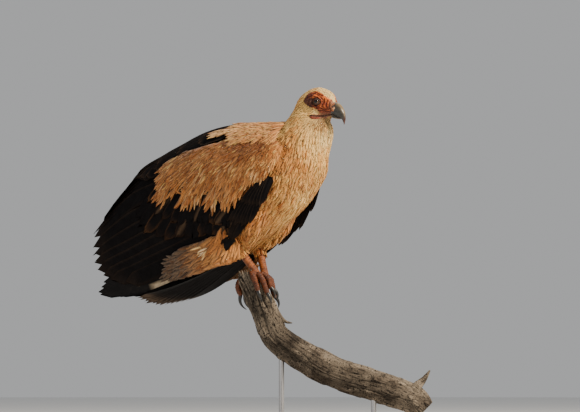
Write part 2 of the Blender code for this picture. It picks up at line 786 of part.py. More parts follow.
# ---- Stand -------------------------------------------------------------------------------------
def turned(name, profile, finish, place):
    """A turned piece: its profile runs down its outer side, as (radius, height) in row millimetres."""
    bm = bmesh.new()
    verts = [bm.verts.new(Vector((r, 0, z)) * MM) for r, z in profile]
    for a, b in zip(verts, verts[1:]):
        bm.edges.new((a, b))
    mesh = bpy.data.meshes.new(name)
    bm.to_mesh(mesh)
    bm.free()
    obj = add(name, mesh, finish)
    obj.location = place * MM
    screw = obj.modifiers.new("turn", "SCREW")
    screw.steps = screw.render_steps = 26 if profile[1][0] > 50 else 10
    screw.merge_threshold = 0.00001
    screw.use_merge_vertices = True
    return settle(obj)


def make_stand(branch, branch_cutter):
    t = BASE_THICKNESS
    edge = [(0, t), (BASE_RADIUS - 6, t), (BASE_RADIUS - 2, t - 1.5), (BASE_RADIUS, t - 5),
            (BASE_RADIUS, 2), (BASE_RADIUS - 2, 0), (0, 0)]
    turned("stand_base", edge, "dark_wood", Vector())
    centre_at = through(BRANCH)
    for name, forward in RODS.items():
        left, top, _ = centre_at(forward)
        foot = PERCH + heading(forward, left, 0)
        foot.z = 0
        head = PERCH.z + top - ROD_SINK
        low = t + GAP
        profile = [(0, head), (ROD_RADIUS - 0.8, head), (ROD_RADIUS, head - 0.8), (ROD_RADIUS, low + 6),
                   (ROD_RADIUS + 7, low + 4), (ROD_RADIUS + 9, low + 2), (ROD_RADIUS + 9, low), (0, low)]
        rod = turned(name, profile, "steel", foot)
        bore, sill = ROD_RADIUS + GAP, low + 15
        socket = [(0, head + GAP), (bore, head + GAP), (bore, sill), (0, sill)]
        hole = turned(name + "_socket", socket, "steel", foot)
        COLLECTIONS["palm_nut_vulture"].objects.unlink(hole)
        COLLECTIONS["cutters"].objects.link(hole)
        hole.hide_render = True
        hole.display_type = "WIRE"
        cut(branch, hole)


COLLECTIONS = start()
FINISHES = {
    "skin_and_down": material("skin_and_down", (0.80, 0.66, 0.48), 0.8),
    "down": material("down", (0.74, 0.50, 0.28), 0.85),
    "black_vane": material("black_vane", (0.03, 0.028, 0.027), 0.6),
    "pale_vane": material("pale_vane", (0.62, 0.54, 0.45), 0.65),
    "horn": material("horn", (0.10, 0.10, 0.10), 0.35),
    "eye": material("eye", (0.05, 0.03, 0.02), 0.08),
    "scaly_skin": material("scaly_skin", (0.66, 0.36, 0.24), 0.6),
    "dead_wood": material("dead_wood", (0.36, 0.30, 0.25), 0.85),
    "dark_wood": material("dark_wood", (0.11, 0.065, 0.04), 0.45),
    "steel": material("steel", (0.45, 0.45, 0.46), 0.3, 1.0),
}


def main():
    head, trunk = make_flesh()
    make_eyes(head)
    make_bill()
    wings = make_wings()
    tail = make_tail()
    vane_cutters = [swollen(piece, piece.name + "_grown", GAP) for piece in [*wings, tail]]
    for cutter in vane_cutters:
        cut(trunk, cutter)
    drop_crumbs(trunk)
    tarsi = make_tarsi()
    make_thighs(trunk, tarsi, vane_cutters)
    branch = make_branch()
    branch_cutter = make_twigs(branch)
    make_feet(branch_cutter, tarsi)
    make_stand(branch, branch_cutter)


main()
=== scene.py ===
import math

import bmesh
import bpy
import numpy as np
from mathutils import Matrix, Vector, noise
from mathutils.bvhtree import BVHTree


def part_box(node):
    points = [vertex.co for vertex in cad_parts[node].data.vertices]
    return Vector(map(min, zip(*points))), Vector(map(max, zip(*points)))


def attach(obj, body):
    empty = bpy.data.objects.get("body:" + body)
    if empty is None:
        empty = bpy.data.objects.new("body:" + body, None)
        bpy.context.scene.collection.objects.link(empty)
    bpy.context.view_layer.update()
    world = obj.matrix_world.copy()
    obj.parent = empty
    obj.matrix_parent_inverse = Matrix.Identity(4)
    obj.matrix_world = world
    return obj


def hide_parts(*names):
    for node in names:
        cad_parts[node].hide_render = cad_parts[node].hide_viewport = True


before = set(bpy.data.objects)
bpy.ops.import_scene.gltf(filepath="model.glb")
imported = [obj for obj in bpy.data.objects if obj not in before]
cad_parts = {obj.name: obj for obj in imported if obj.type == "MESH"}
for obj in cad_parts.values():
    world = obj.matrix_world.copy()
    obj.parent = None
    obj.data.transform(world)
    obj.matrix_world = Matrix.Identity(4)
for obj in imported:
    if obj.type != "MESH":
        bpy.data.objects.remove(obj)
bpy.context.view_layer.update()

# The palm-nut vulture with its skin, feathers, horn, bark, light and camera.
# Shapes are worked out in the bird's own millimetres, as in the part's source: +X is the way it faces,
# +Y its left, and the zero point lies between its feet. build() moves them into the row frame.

MM = 0.001
CHANCE = np.random.default_rng(7)

EYE_PLACE = (128.0, 18.0, 298.6)
EYE_RADIUS = 6.9


def middle(node):
    low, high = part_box(node)
    return (low + high) / 2


BETWEEN_EYES = (middle("eye_left") + middle("eye_right")) / 2
PERCH = np.array(BETWEEN_EYES) / MM - np.array((EYE_PLACE[0], 0, EYE_PLACE[2]))

VIEW_TURN, VIEW_RISE = math.radians(32), math.radians(-5)
CAMERA_DISTANCE, LENS = 3.5, 127.8
VOXEL = 2.0
HEEL = (-19, 33, 60)
HUBS = {"left": (11, 10, 1), "right": (9, -10, 9)}
TARSUS_RADIUS = 7.0
TOE_RADIUS = 5.0
CLAW_RADIUS = 3.2
SIDES = {"left": 1, "right": -1}
FLESH = ("head", "neck", "trunk", "thigh_left", "thigh_right")
TAIL_BASE = (-34, 0, 45)
TAIL_SLOPE = math.radians(24.8)
TAIL_LENGTH = 190

# The folded wing's outer side: x, upper edge (y, z), widest point (y, z), lower edge (y, z)
WING = [
    (94, 22, 246, 66, 192, 62, 142), (75, 8, 262, 74, 182, 74, 120), (40, 2, 267, 79, 170, 77, 80),
    (0, 1, 269, 80, 156, 74, 42), (-50, 1, 270, 78, 140, 70, 26), (-100, 1, 262, 72, 122, 62, 12),
    (-150, 1, 244, 65, 102, 54, 5), (-200, 1, 224, 56, 82, 47, -2), (-240, 1, 204, 48, 66, 41, -8),
    (-280, 2, 168, 40, 52, 34, -11), (-344, 3, 104, 26, 36, 24, -14),
]
# The branch's centre line from the broken tip: along its heading, to the left of that, up, and its radius
BRANCH = [
    (-8, 0, 4, 22.5), (-1, 2, -22, 22), (10, 3, -46, 23.5), (18, 4, -66, 23.5), (29, 5, -88, 24.5),
    (50, 5, -106, 25.5), (75, 5, -123, 26.5), (98, 4, -137, 27), (125, 3, -150, 26.5), (152, 1, -160, 26.5),
    (177, 0, -167, 27), (202, 0, -174, 27), (227, 1, -183, 27), (252, 3, -193, 26), (268, 5, -203, 24.5),
    (281, 7, -216, 21),
]

# The plumage's linear colours
WHITE = (0.73, 0.53, 0.225)
CREAM = (0.69, 0.42, 0.13)
BUFF = (0.50, 0.245, 0.066)
TAN = (0.40, 0.165, 0.048)
OCHRE = (0.42, 0.170, 0.042)
RUST = (0.235, 0.080, 0.020)
BROWN = (0.12, 0.055, 0.022)
BLACK = (0.0062, 0.0055, 0.0058)


# ---- Curves ----
def evenly(count, first=0.0, last=1.0):
    return [first + (last - first) * i / (count - 1) for i in range(count)]


def through(stations):
    """A smooth function through rows of (position, values...)."""
    rows = np.array(sorted(stations), float)
    at, values = rows[:, 0], rows[:, 1:]
    slopes = np.gradient(values, at, axis=0)

    def value(position):
        position = min(max(position, at[0]), at[-1])
        i = min(int(np.searchsorted(at, position, side="right")) - 1, len(at) - 2)
        span = at[i + 1] - at[i]
        t = (position - at[i]) / span
        a, b = values[i], values[i + 1]
        rise_a, rise_b = slopes[i] * span, slopes[i + 1] * span
        blend = (
            a * (2 * t**3 - 3 * t**2 + 1) + rise_a * (t**3 - 2 * t**2 + t)
            + b * (3 * t**2 - 2 * t**3) + rise_b * (t**3 - t**2)
        )
        return [float(v) for v in blend]

    return value


def curve(points):
    """A smooth function of the share of the way through evenly numbered control points."""
    steps = evenly(len(points))
    return through([(s, *np.atleast_1d(p)) for s, p in zip(steps, points)])


def samples(function, places):
    """One row of a function's values for each place."""
    return np.array([function(v) for v in places])


def blend(first, second, share):
    """The first colour turned into the second by a share from 0 to 1, or by one share for each row."""
    share = np.asarray(share, float)
    share = share.reshape(-1, 1) if share.ndim else share
    return np.asarray(first) * (1 - share) + np.asarray(second) * share


def circle(sides):
    """The cosines and sines of angles evenly round a turn."""
    angles = np.linspace(0, 2 * math.pi, sides, endpoint=False)
    return np.cos(angles), np.sin(angles)


def smoothstep(low, high, value):
    t = np.clip((np.asarray(value, float) - low) / (high - low), 0, 1)
    return t * t * (3 - 2 * t)


def unit(vectors):
    vectors = np.asarray(vectors, float)
    return vectors / np.maximum(np.linalg.norm(vectors, axis=-1, keepdims=True), 1e-9)


# ---- Meshes ----
def paint(mesh, tint):
    """Gives each of a mesh's points its colour."""
    layer = mesh.color_attributes.new("Tint", "FLOAT_COLOR", "POINT")
    colours = np.ones((len(mesh.vertices), 4), np.float32)
    colours[:, :3] = tint
    layer.data.foreach_set("color", colours.ravel())


def build(name, points, quads, finish, tint=None, maps=None):
    """An object from arrays: points in bird millimetres, quads of indices, a colour for each point."""
    mesh = bpy.data.meshes.new(name)
    quads = np.asarray(quads, np.int32)
    mesh.vertices.add(len(points))
    mesh.vertices.foreach_set("co", ((points + PERCH) * MM).astype(np.float32).ravel())
    mesh.loops.add(quads.size)
    mesh.loops.foreach_set("vertex_index", quads.ravel())
    mesh.polygons.add(len(quads))
    mesh.polygons.foreach_set("loop_start", np.arange(0, quads.size, 4, dtype=np.int32))
    mesh.update(calc_edges=True)
    mesh.polygons.foreach_set("use_smooth", np.ones(len(quads), bool))
    if tint is not None:
        paint(mesh, tint)
    for title, places in (maps or {}).items():
        layer = mesh.uv_layers.new(name=title)
        layer.data.foreach_set("uv", np.asarray(places, np.float32)[quads.ravel()].ravel())
    obj = bpy.data.objects.new(name, mesh)
    bpy.context.scene.collection.objects.link(obj)
    mesh.materials.append(finish)
    return obj


def dress(obj, slot, *nodes):
    """Puts a piece on the root body, in place of the CAD nodes that it covers; the slot is not used."""
    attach(obj, "root")
    if nodes:
        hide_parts(*nodes)
    return obj


def tube_grid(centres, radii, sides, up):
    """Rings of points round a line of centres."""
    centres = np.asarray(centres, float)
    ahead = unit(np.gradient(centres, axis=0))
    side = unit(np.cross(ahead, up))
    lift = np.cross(side, ahead)
    c, s = circle(sides)
    ring = c[None, :, None] * side[:, None] + s[None, :, None] * lift[:, None]
    return centres[:, None] + ring * np.asarray(radii, float)[:, None, None]


def grid_quads(rows, columns, closed, looped=False):
    """Quads of a grid numbered row by row: closed joins each row's ends, looped the last row to the first."""
    i = np.arange(rows if looped else rows - 1)[:, None]
    j = np.arange(columns if closed else columns - 1)[None, :]
    below, k = (i + 1) % rows, (j + 1) % columns
    corners = (i * columns + j, i * columns + k, below * columns + k, below * columns + j)
    return np.stack(corners, axis=-1).reshape(-1, 4)


def capped(grid):
    """A closed tube's points and quads: each end is drawn together to its middle by two more rings."""
    def closing(ring):
        centre = ring.mean(axis=0)
        return [centre + (ring - centre) * share for share in (0.5, 0.02)]

    first, last = closing(grid[0]), closing(grid[-1])
    rings = np.concatenate([first[::-1], grid, last])
    return facing_out(rings.reshape(-1, 3), grid_quads(len(rings), grid.shape[1], True))


def capped_tint(tint):
    """The rings' tints, with those of the end rings that capped() adds."""
    return np.concatenate([tint[0]] * 2 + list(tint) + [tint[-1]] * 2)


def tube_piece(name, grid, tint, finish, slot, *nodes):
    """A closed tube from its rings of points and their tints, as a piece of its own."""
    return dress(build(name, *capped(grid), finish, capped_tint(tint)), slot, *nodes)


def slab(top, bottom):
    """A closed sheet's points and quads, between a top and a bottom grid of points."""
    rows, columns = top.shape[:2]
    points = np.concatenate([top.reshape(-1, 3), bottom.reshape(-1, 3)])
    above = grid_quads(rows, columns, False)
    below = above[:, ::-1] + rows * columns
    rim = [(i, 0) for i in range(rows)] + [(rows - 1, j) for j in range(1, columns)]
    rim += [(i, columns - 1) for i in range(rows - 2, -1, -1)] + [(0, j) for j in range(columns - 2, 0, -1)]
    edge = np.array([i * columns + j for i, j in rim])
    after = np.roll(edge, -1)
    sides = np.stack([edge, edge + rows * columns, after + rows * columns, after], axis=-1)
    return facing_out(points, np.concatenate([above[:, ::-1], below[:, ::-1], sides[:, ::-1]]))


def facing_out(points, quads):
    """The points, and the quads turned round if they enclose a negative volume."""
    a, b, c, d = (points[quads[:, k]] for k in range(4))
    volume = np.einsum("ij,ij->i", a, np.cross(b, c)).sum() + np.einsum("ij,ij->i", a, np.cross(c, d)).sum()
    return points, quads if volume > 0 else quads[:, ::-1]


def quad_areas(points, quads):
    a, b, c, d = (points[quads[:, k]] for k in range(4))
    return np.linalg.norm(np.cross(c - a, d - b), axis=1) / 2


def joined(parts):
    """One set of arrays from many (points, quads, tint, maps...) sets."""
    offsets = np.cumsum([0] + [len(p[0]) for p in parts[:-1]])
    points = np.concatenate([p[0] for p in parts])
    quads = np.concatenate([p[1] + o for p, o in zip(parts, offsets)])
    return [points, quads] + [np.concatenate([p[k] for p in parts]) for k in range(2, len(parts[0]))]


# ---- Materials ----
class Nodes:
    """A small helper that writes a material's nodes from left to right."""

    def __init__(self, name):
        self.material = bpy.data.materials.new(name)
        self.material.use_nodes = True
        self.tree = self.material.node_tree
        self.shader = self.tree.nodes["Principled BSDF"]

    def plug(self, socket, value):
        """Gives a socket a number, a row of numbers, a colour or another node's output."""
        if isinstance(value, bpy.types.NodeSocket):
            self.tree.links.new(value, socket)
        elif isinstance(value, tuple):
            socket.default_value = (*value, 1)[:len(socket.default_value)]
        else:
            socket.default_value = value

    def add(self, kind, inputs=None, **settings):
        node = self.tree.nodes.new("ShaderNode" + kind)
        for name, value in settings.items():
            setattr(node, name, value)
        for name, value in (inputs or {}).items():
            self.plug(node.inputs[name], value)
        return node

    def math(self, operation, a, b=0.0):
        return self.add("Math", {0: a, 1: b}, operation=operation).outputs[0]

    def place(self):
        return self.add("TexCoord").outputs["Object"]

    def grain(self, scale, detail=3.0, rough=0.6, stretch=None, source=None):
        source = source or self.place()
        if stretch:
            source = self.add("Mapping", {"Scale": stretch, "Vector": source}).outputs[0]
        values = {"Scale": scale, "Detail": detail, "Roughness": rough, "Vector": source}
        return self.add("TexNoise", values).outputs["Fac"]

    def ramp(self, source, *stops):
        node = self.add("ValToRGB", {"Fac": source})
        for element, (position, value) in zip(node.color_ramp.elements, stops):
            element.position = position
            element.color = (*np.broadcast_to(value, 3), 1)
        return node.outputs["Color"]

    def mix(self, share, a, b, blend_type="MIX"):
        return self.add("Mix", {0: share, 6: a, 7: b}, data_type="RGBA", blend_type=blend_type).outputs[2]

    def times(self, a, b):
        return self.mix(1.0, a, b, "MULTIPLY")

    def tint(self):
        return self.add("VertexColor", layer_name="Tint").outputs["Color"]

    def finish(self, bump=None, **values):
        """The material, its shader's sockets given or linked, with a bump of (height, distance, strength)."""
        if bump:
            node = self.add("Bump", dict(zip(("Height", "Distance", "Strength"), bump)))
            values["Normal"] = node.outputs[0]
        for name, value in values.items():
            self.plug(self.shader.inputs[name.replace("_", " ")], value)
        return self.material


def barbs(nodes, period):
    """Fine slanting barbs from the Vane map: u is millimetres off the shaft, v millimetres along it."""
    where = nodes.add("UVMap", uv_map="Vane").outputs[0]
    off, on = nodes.add("SeparateXYZ", {"Vector": where}).outputs[:2]
    slant = nodes.math("SUBTRACT", on, nodes.math("MULTIPLY", nodes.math("ABSOLUTE", off), 1.1))
    line = nodes.add("CombineXYZ", {"X": slant, "Y": off}).outputs[0]
    return nodes.grain(1.0 / period, 2.0, 0.5, (1.0, 0.06, 1.0), line)


def vane_material(name, period, lines_to, patches, patches_to, relief, **values):
    """Feathers: their tint, with fine barbs and patches of (scale, detail) between two shades each."""
    n = Nodes(name)
    lines, patchy = barbs(n, period), n.grain(*patches)
    shade = n.times(n.tint(), n.ramp(lines, *lines_to))
    return n.finish((lines, *relief), Base_Color=n.times(shade, n.ramp(patchy, *patches_to)), **values)


def flight_material(name, rough, gloss):
    return vane_material(name, 1.2, ((0.25, 0.62), (0.75, 1.25)), (60, 2.0), ((0.3, 0.82), (0.7, 1.12)),
                         (0.0006, 0.7), Roughness=rough, Specular_IOR_Level=gloss)


def coat_material():
    return vane_material("contour_feathers", 0.8, ((0.3, 0.70), (0.7, 1.18)), (90, 3.0),
                         ((0.3, 0.80), (0.7, 1.14)), (0.0005, 0.6), Roughness=0.8, Sheen_Weight=0.06,
                         Sheen_Roughness=0.5, Specular_IOR_Level=0.15)


def skin_material():
    n = Nodes("skin")
    fold = n.grain(420, 4.0, 0.65)
    cell = n.add("TexVoronoi", {"Scale": 700.0, "Vector": n.place()}).outputs["Distance"]
    height = n.math("ADD", fold, n.math("MULTIPLY", cell, 0.5))
    return n.finish(
        (height, 0.0007, 0.8), Base_Color=n.times(n.tint(), n.ramp(fold, (0.3, 0.62), (0.7, 1.25))),
        Roughness=0.6, Subsurface_Weight=0.05, Subsurface_Scale=0.002, Specular_IOR_Level=0.22,
    )


def scale_material():
    n = Nodes("scaly_skin")
    cell = n.add("TexVoronoi", {"Scale": 520.0, "Vector": n.place()}, feature="DISTANCE_TO_EDGE")
    seams = n.ramp(cell.outputs["Distance"], (0.0, 0.35), (0.12, 1.0))
    dirt = n.ramp(n.grain(160, 4.0), (0.35, 0.0), (0.65, 1.0))
    colour = n.mix(dirt, (0.10, 0.026, 0.008), (0.31, 0.088, 0.018))
    return n.finish((seams, 0.0005, 0.6), Base_Color=n.times(n.times(colour, seams), n.tint()),
                    Roughness=0.52, Specular_IOR_Level=0.3)


def horn_material(name, dark, light, rough):
    n = Nodes(name)
    streak = n.grain(220, 4.0, 0.6, (0.35, 1.0, 1.0))
    colour = n.mix(n.ramp(streak, (0.3, 0.0), (0.7, 1.0)), (dark, dark, dark), (light, light, light))
    return n.finish((streak, 0.0003, 0.35), Base_Color=n.times(colour, n.tint()), Specular_IOR_Level=0.3,
                    Roughness=n.ramp(streak, (0.3, rough - 0.08), (0.7, rough + 0.1)))


def eye_material():
    n = Nodes("eye")
    fibre = n.ramp(n.grain(900, 3.0), (0.3, 0.7), (0.7, 1.2))
    return n.finish(Base_Color=n.times(n.tint(), fibre), Roughness=0.10, Specular_IOR_Level=0.25,
                    Coat_Weight=0.10, Coat_Roughness=0.03)


def bark_material():
    n = Nodes("dead_wood")
    where = n.add("Attribute", attribute_name="Bark").outputs["Vector"]
    fibre = n.grain(9.0, 6.0, 0.65, (1.0, 0.10, 1.0), where)
    crack = n.grain(3.4, 5.0, 0.6, (1.0, 0.13, 1.0), where)
    weather = n.ramp(n.grain(26, 4.0), (0.35, 0.0), (0.62, 1.0))
    base = n.mix(weather, (0.060, 0.045, 0.032), (0.235, 0.190, 0.140))
    base = n.times(base, n.ramp(fibre, (0.32, 0.30), (0.68, 1.45)))
    # Painted shade in the cracks
    split = n.ramp(crack, (0.38, 0.08), (0.44, 1.0))
    height = n.math("ADD", fibre, n.math("MULTIPLY", split, 0.6))
    return n.finish((height, 0.0016, 0.8), Base_Color=n.times(n.times(base, split), n.tint()), Roughness=0.9,
                    Specular_IOR_Level=0.2)


def polished_wood():
    n = Nodes("polished_wood")
    wave = {"Scale": 9.0, "Distortion": 5.0, "Detail": 3.0, "Detail Scale": 1.4, "Vector": n.place()}
    rings = n.add("TexWave", wave, wave_type="BANDS", bands_direction="Y").outputs["Fac"]
    pores = n.grain(300, 4.0, 0.6, (0.06, 1.0, 1.0))
    colour = n.times(n.mix(rings, (0.040, 0.019, 0.010), (0.085, 0.042, 0.022)),
                     n.ramp(pores, (0.35, 0.6), (0.6, 1.1)))
    return n.finish((pores, 0.0002, 0.3), Base_Color=colour, Roughness=0.38, Coat_Weight=0.25,
                    Coat_Roughness=0.25)


def steel():
    n = Nodes("steel")
    turned = n.grain(500, 2.0, 0.5, (1.0, 1.0, 0.03))
    return n.finish((turned, 0.0001, 0.2), Metallic=1.0, Roughness=n.ramp(turned, (0.3, 0.28), (0.7, 0.42)),
                    Base_Color=n.ramp(turned, (0.3, (0.30, 0.30, 0.31)), (0.7, (0.46, 0.46, 0.47))))


def floor_material():
    n = Nodes("floor")
    soft = n.ramp(n.grain(3, 2.0), (0.4, 0.0), (0.6, 1.0))
    pale = (0.80, 0.80, 0.79)
    return n.finish(Base_Color=n.mix(soft, pale, tuple(c * 0.985 for c in pale)), Roughness=0.9)


# ---- The lie, length and colour of the coat ----
# How the feathers lie at places on the bird's left: x, y, z, the way that they point, their length
LIE = np.array([
    (152, 0, 311, -0.8, 0, 0.6, 4.5), (140, 0, 322, -0.95, 0, 0.3, 6), (122, 0, 327, -1, 0, -0.05, 8),
    (100, 0, 321, -0.9, 0, -0.45, 11), (84, 0, 307, -0.65, 0, -0.75, 14), (118, 24, 286, -0.8, 0.1, -0.6, 8),
    (140, 19, 284, -0.9, 0, -0.45, 5), (100, 23, 296, -0.8, 0, -0.6, 10), (146, 6, 272, -0.7, 0, -0.7, 7),
    (143, 0, 258, -0.1, 0, -1, 13), (147, 0, 240, -0.05, 0, -1, 17), (95, 52, 250, -0.35, 0, -0.94, 18),
    (60, 20, 272, -0.8, 0, -0.6, 19), (120, 40, 235, -0.2, 0, -0.98, 18), (126, 20, 205, -0.3, 0, -0.95, 20),
    (110, 10, 160, -0.5, 0, -0.87, 22), (90, 62, 190, -0.4, 0.1, -0.9, 21), (60, 20, 105, -0.8, 0, -0.6, 24),
    (0, 20, 68, -0.95, 0, -0.3, 25), (-60, 15, 28, -1, 0, -0.25, 27), (25, 66, 115, -0.6, 0.1, -0.8, 24),
    (-50, 58, 62, -0.92, 0, -0.4, 28), (-100, 30, 40, -0.97, 0, -0.25, 28), (20, 10, 272, -1, 0, -0.05, 22),
    (-80, 10, 256, -0.95, 0, -0.3, 26), (14, 70, 100, -0.3, 0, -0.95, 19), (-4, 48, 66, 0.1, 0, -0.99, 19),
    (8, 40, 60, 0.15, 0, -0.99, 18), (84, 60, 225, -0.5, 0.1, -0.85, 13), (50, 66, 246, -0.75, 0.1, -0.6, 14),
    (50, 80, 175, -0.3, 0, -0.95, 20), (-20, 76, 220, -0.75, 0, -0.65, 19),
    (-20, 82, 155, -0.34, 0, -0.94, 30), (-100, 72, 212, -0.8, 0, -0.6, 22),
    (-100, 76, 150, -0.45, 0, -0.89, 33), (-165, 66, 175, -0.62, 0, -0.78, 32),
    (10, 82, 130, -0.3, 0, -0.95, 28), (-60, 78, 180, -0.5, 0, -0.86, 27), (20, 80, 190, -0.5, 0, -0.86, 21),
    (-130, 72, 190, -0.66, 0, -0.75, 28),
])
# The coat's colours, each with places on the bird's left where it is pure
MARKS = {
    WHITE: [(155, 0, 308), (140, 0, 322), (140, 18, 280), (147, 0, 260), (147, 10, 245)],
    CREAM: [
        (120, 0, 327), (100, 15, 316), (118, 24, 284), (100, 26, 290), (140, 30, 235), (80, 40, 262),
        (128, 0, 215), (90, 0, 130), (-90, 30, 40), (118, 26, 142),
    ],
    BUFF: [
        (85, 0, 305), (95, 50, 255), (60, 20, 272), (125, 30, 195), (115, 40, 170), (100, 60, 165),
        (80, 30, 120), (30, 20, 82), (-20, 50, 62), (-60, 15, 28), (20, 10, 272),
    ],
    # The brown under the bill is partly the feathers' own colour and partly painted shade
    BROWN: [(147, 7, 271), (139, 14, 269)],
    OCHRE: [
        (95, 62, 200), (60, 50, 110), (20, 60, 105), (14, 70, 100), (0, 52, 66), (84, 60, 225), (60, 80, 190),
        (20, 82, 140), (-100, 76, 160), (-60, 80, 140),
    ],
    TAN: [(-30, 10, 270), (45, 82, 160), (-20, 74, 222), (-20, 82, 170), (-80, 74, 205), (-150, 70, 175)],
    BLACK: [(-90, 10, 255)],
    RUST: [(60, 68, 235), (30, 70, 240), (-5, 68, 238)],
}


def near_mean(places, anchors, values, soft, power):
    """Values blended by nearness to the anchors, which are mirrored onto both sides."""
    places = np.atleast_2d(np.asarray(places, float)).copy()
    places[:, 1] = np.abs(places[:, 1])
    gap = ((places[:, None] - np.array(anchors, float)[None]) ** 2).sum(axis=-1) + soft**2
    weight = gap ** (-power / 2)
    return weight @ np.asarray(values, float) / weight.sum(axis=1, keepdims=True)


def lie_at(places):
    """(direction, length) of the feathers at each place."""
    blended = near_mean(places, LIE[:, :3], np.hstack([unit(LIE[:, 3:6]), LIE[:, 6:]]), 6, 3.5)
    ways = blended[:, :3].copy()
    ways[:, 1] *= np.sign(np.atleast_2d(places)[:, 1])
    return unit(ways), blended[:, 3]


def coat_colour(places):
    anchors = [place for group in MARKS.values() for place in group]
    return near_mean(places, anchors, [colour for colour, group in MARKS.items() for _ in group], 8, 4.0)


# Lines on the side of the head, in x and z: the mouth, the red lip below its corner, the bare skin's edge
GAPE = [
    (104, 280.4), (114, 277.4), (121, 275.4), (128, 274.8), (134, 274.8), (141, 275.8), (148, 276.8),
    (154, 277.4),
]
LIP = [(122.4, 272.6), (125, 271.0), (129, 270.6), (132.6, 271.6)]


def line_gap(x, z, line):
    """Each place's distance from a line through places in x and z."""
    line = np.array(line, float)
    first, span = line[:-1], np.diff(line, axis=0)
    here = np.stack([x, z], axis=-1)[:, None]
    share = np.clip(((here - first) * span).sum(axis=-1) / (span**2).sum(axis=-1), 0, 1)
    return np.linalg.norm(here - first - share[..., None] * span, axis=-1).min(axis=1)


FACE_EDGE = [
    (104, 301), (108, 309.5), (112, 314), (118, 317), (126, 317.8), (133, 315.6), (139, 312), (144.5, 307.6),
    (149, 303.4), (153, 302.6), (160, 302), (160, 276), (146, 275.5), (137, 277), (132, 280.6), (129.6, 285),
    (124, 288.4), (117, 290), (110.5, 295),
]


def within_outline(x, z, outline):
    """Which places in x and z lie inside a closed outline."""
    first = np.array(outline, float)
    last = np.roll(first, -1, axis=0)
    span = last - first
    rises = (first[:, 1] > z[:, None]) != (last[:, 1] > z[:, None])
    meets = first[:, 0] + (z[:, None] - first[:, 1]) / np.where(span[:, 1] == 0, 1, span[:, 1]) * span[:, 0]
    return (rises & (x[:, None] < meets)).sum(axis=1) % 2 == 1


def inside_face(x, z):
    """How far inside the bare face's outline each place is, in millimetres; negative outside."""
    gap = line_gap(x, z, FACE_EDGE + FACE_EDGE[:1])
    return np.where(within_outline(x, z, FACE_EDGE), gap, -gap)


def mirrored(place, sign):
    """A place or direction on the bird's left, put onto its left (1) or right (-1)."""
    return place.x, place.y * sign, place.z


def bareness(places):
    """1 on the bare orange-red skin round the eye and along the lores, 0 on feathers."""
    places = np.atleast_2d(places)
    ragged = np.sin(places[:, 0] * 1.9 + 2 * np.sin(places[:, 2] * 0.9)) * 0.7
    on_side = smoothstep(3.0, 6.0, np.abs(places[:, 1]))
    x, z = places[:, 0], places[:, 2]
    brow = z - 9 * (places[:, 1] > 0) * smoothstep(128, 140, x) * smoothstep(299, 305, z)
    face = smoothstep(-1.2, 1.0, inside_face(x, brow) + ragged)
    mouth = 1 - smoothstep(2.2, 3.8, line_gap(x, z, GAPE[2:]))
    lips = 1 - smoothstep(1.2, 2.2, line_gap(x, z, LIP))
    return on_side * np.maximum(face, np.maximum(mouth, lips))


# ---- Skin ----
wing_row = through(WING)


def wing_side(x, degrees):
    """The wing's outer side at an angle round it: 0 is the upper edge, 90 the widest, 150 the lower edge."""
    y_top, z_top, y_wide, z_wide, y_low, z_low = wing_row(x)
    if degrees <= 90:
        a = math.radians(degrees)
        return Vector((x, y_top + (y_wide - y_top) * math.sin(a), z_wide + (z_top - z_wide) * math.cos(a)))
    fall = (degrees - 90) / 60
    return Vector((x, y_wide - (y_wide - y_low) * fall**1.6, z_wide - (z_wide - z_low) * fall))


def at_height(x, z):
    """The angle round the wing at which its side is at height z."""
    _, z_top, _, z_wide, _, z_low = wing_row(x)
    if z >= z_wide:
        return math.degrees(math.acos(min(1.0, (z - z_wide) / (z_top - z_wide))))
    return 90 + 60 * (z_wide - z) / (z_wide - z_low)


def wing_frame(x, degrees):
    """(point, outward normal) on the wing's side."""
    here = wing_side(x, degrees)
    across = wing_side(x, degrees + 1) - here
    back = wing_side(x - 1, degrees) - here
    return here, across.cross(back).normalized()


def pad_edges(x):
    """The heights of the lower and upper edges of the cushion of coverts at each x."""
    top = np.array([wing_side(v, COVERT_TOP(v)[0]).z for v in x])
    return samples(COVERT_LOW, x)[:, 0], top


# The cushion of coverts: angle of its upper edge and height of its lower edge, by x
COVERT_TOP = through([(90, 62), (70, 48), (30, 42), (-20, 40), (-60, 42), (-100, 39), (-165, 39), (-192, 47)])
COVERT_LOW = through([
    (90, 198), (74, 171), (42, 157), (15, 134), (-8, 112), (-51, 124), (-112, 130), (-168, 152), (-192, 182),
])


def arm_pad(sign):
    """The flesh of the folded wing under its coverts, as a thin cushion."""
    sheets = np.empty((2, 26, 16, 3))
    for i, x in enumerate(evenly(26, 84, -172)):
        first, last = COVERT_TOP(x)[0] + 3, at_height(x, COVERT_LOW(x)[0] + 24)
        share = (84 - x) / 256
        for j, down in enumerate(evenly(16)):
            swell = math.sin(math.pi * min(1, 0.04 + share)) ** 0.5 * math.sin(math.pi * down) ** 0.6
            here, outward = wing_frame(x, first + (last - first) * down)
            for sheet, out in zip(sheets, (0.2 + 4.2 * swell, -7.0)):
                sheet[i, j] = mirrored(here + out * outward, sign)
    return slab(*sheets)


def coat_depth(points):
    """How far the skin lies inside the solids: little on the face, most on the breast and belly."""
    head = smoothstep(262, 285, points[:, 2]) * smoothstep(60, 95, points[:, 0])
    depth = 4.6 - 3.0 * head
    return depth * (1 - 0.75 * bareness(points))


def column(items, field, width=1, kind=np.float32):
    """One property of all of a mesh's points, corners or faces."""
    values = np.empty(len(items) * width, kind)
    items.foreach_get(field, values)
    return values.reshape(-1, width) if width > 1 else values


def mesh_arrays(mesh):
    """A mesh's points, in bird millimetres, and their normals."""
    return column(mesh.vertices, "co", 3) / MM - PERCH, column(mesh.vertex_normals, "vector", 3)


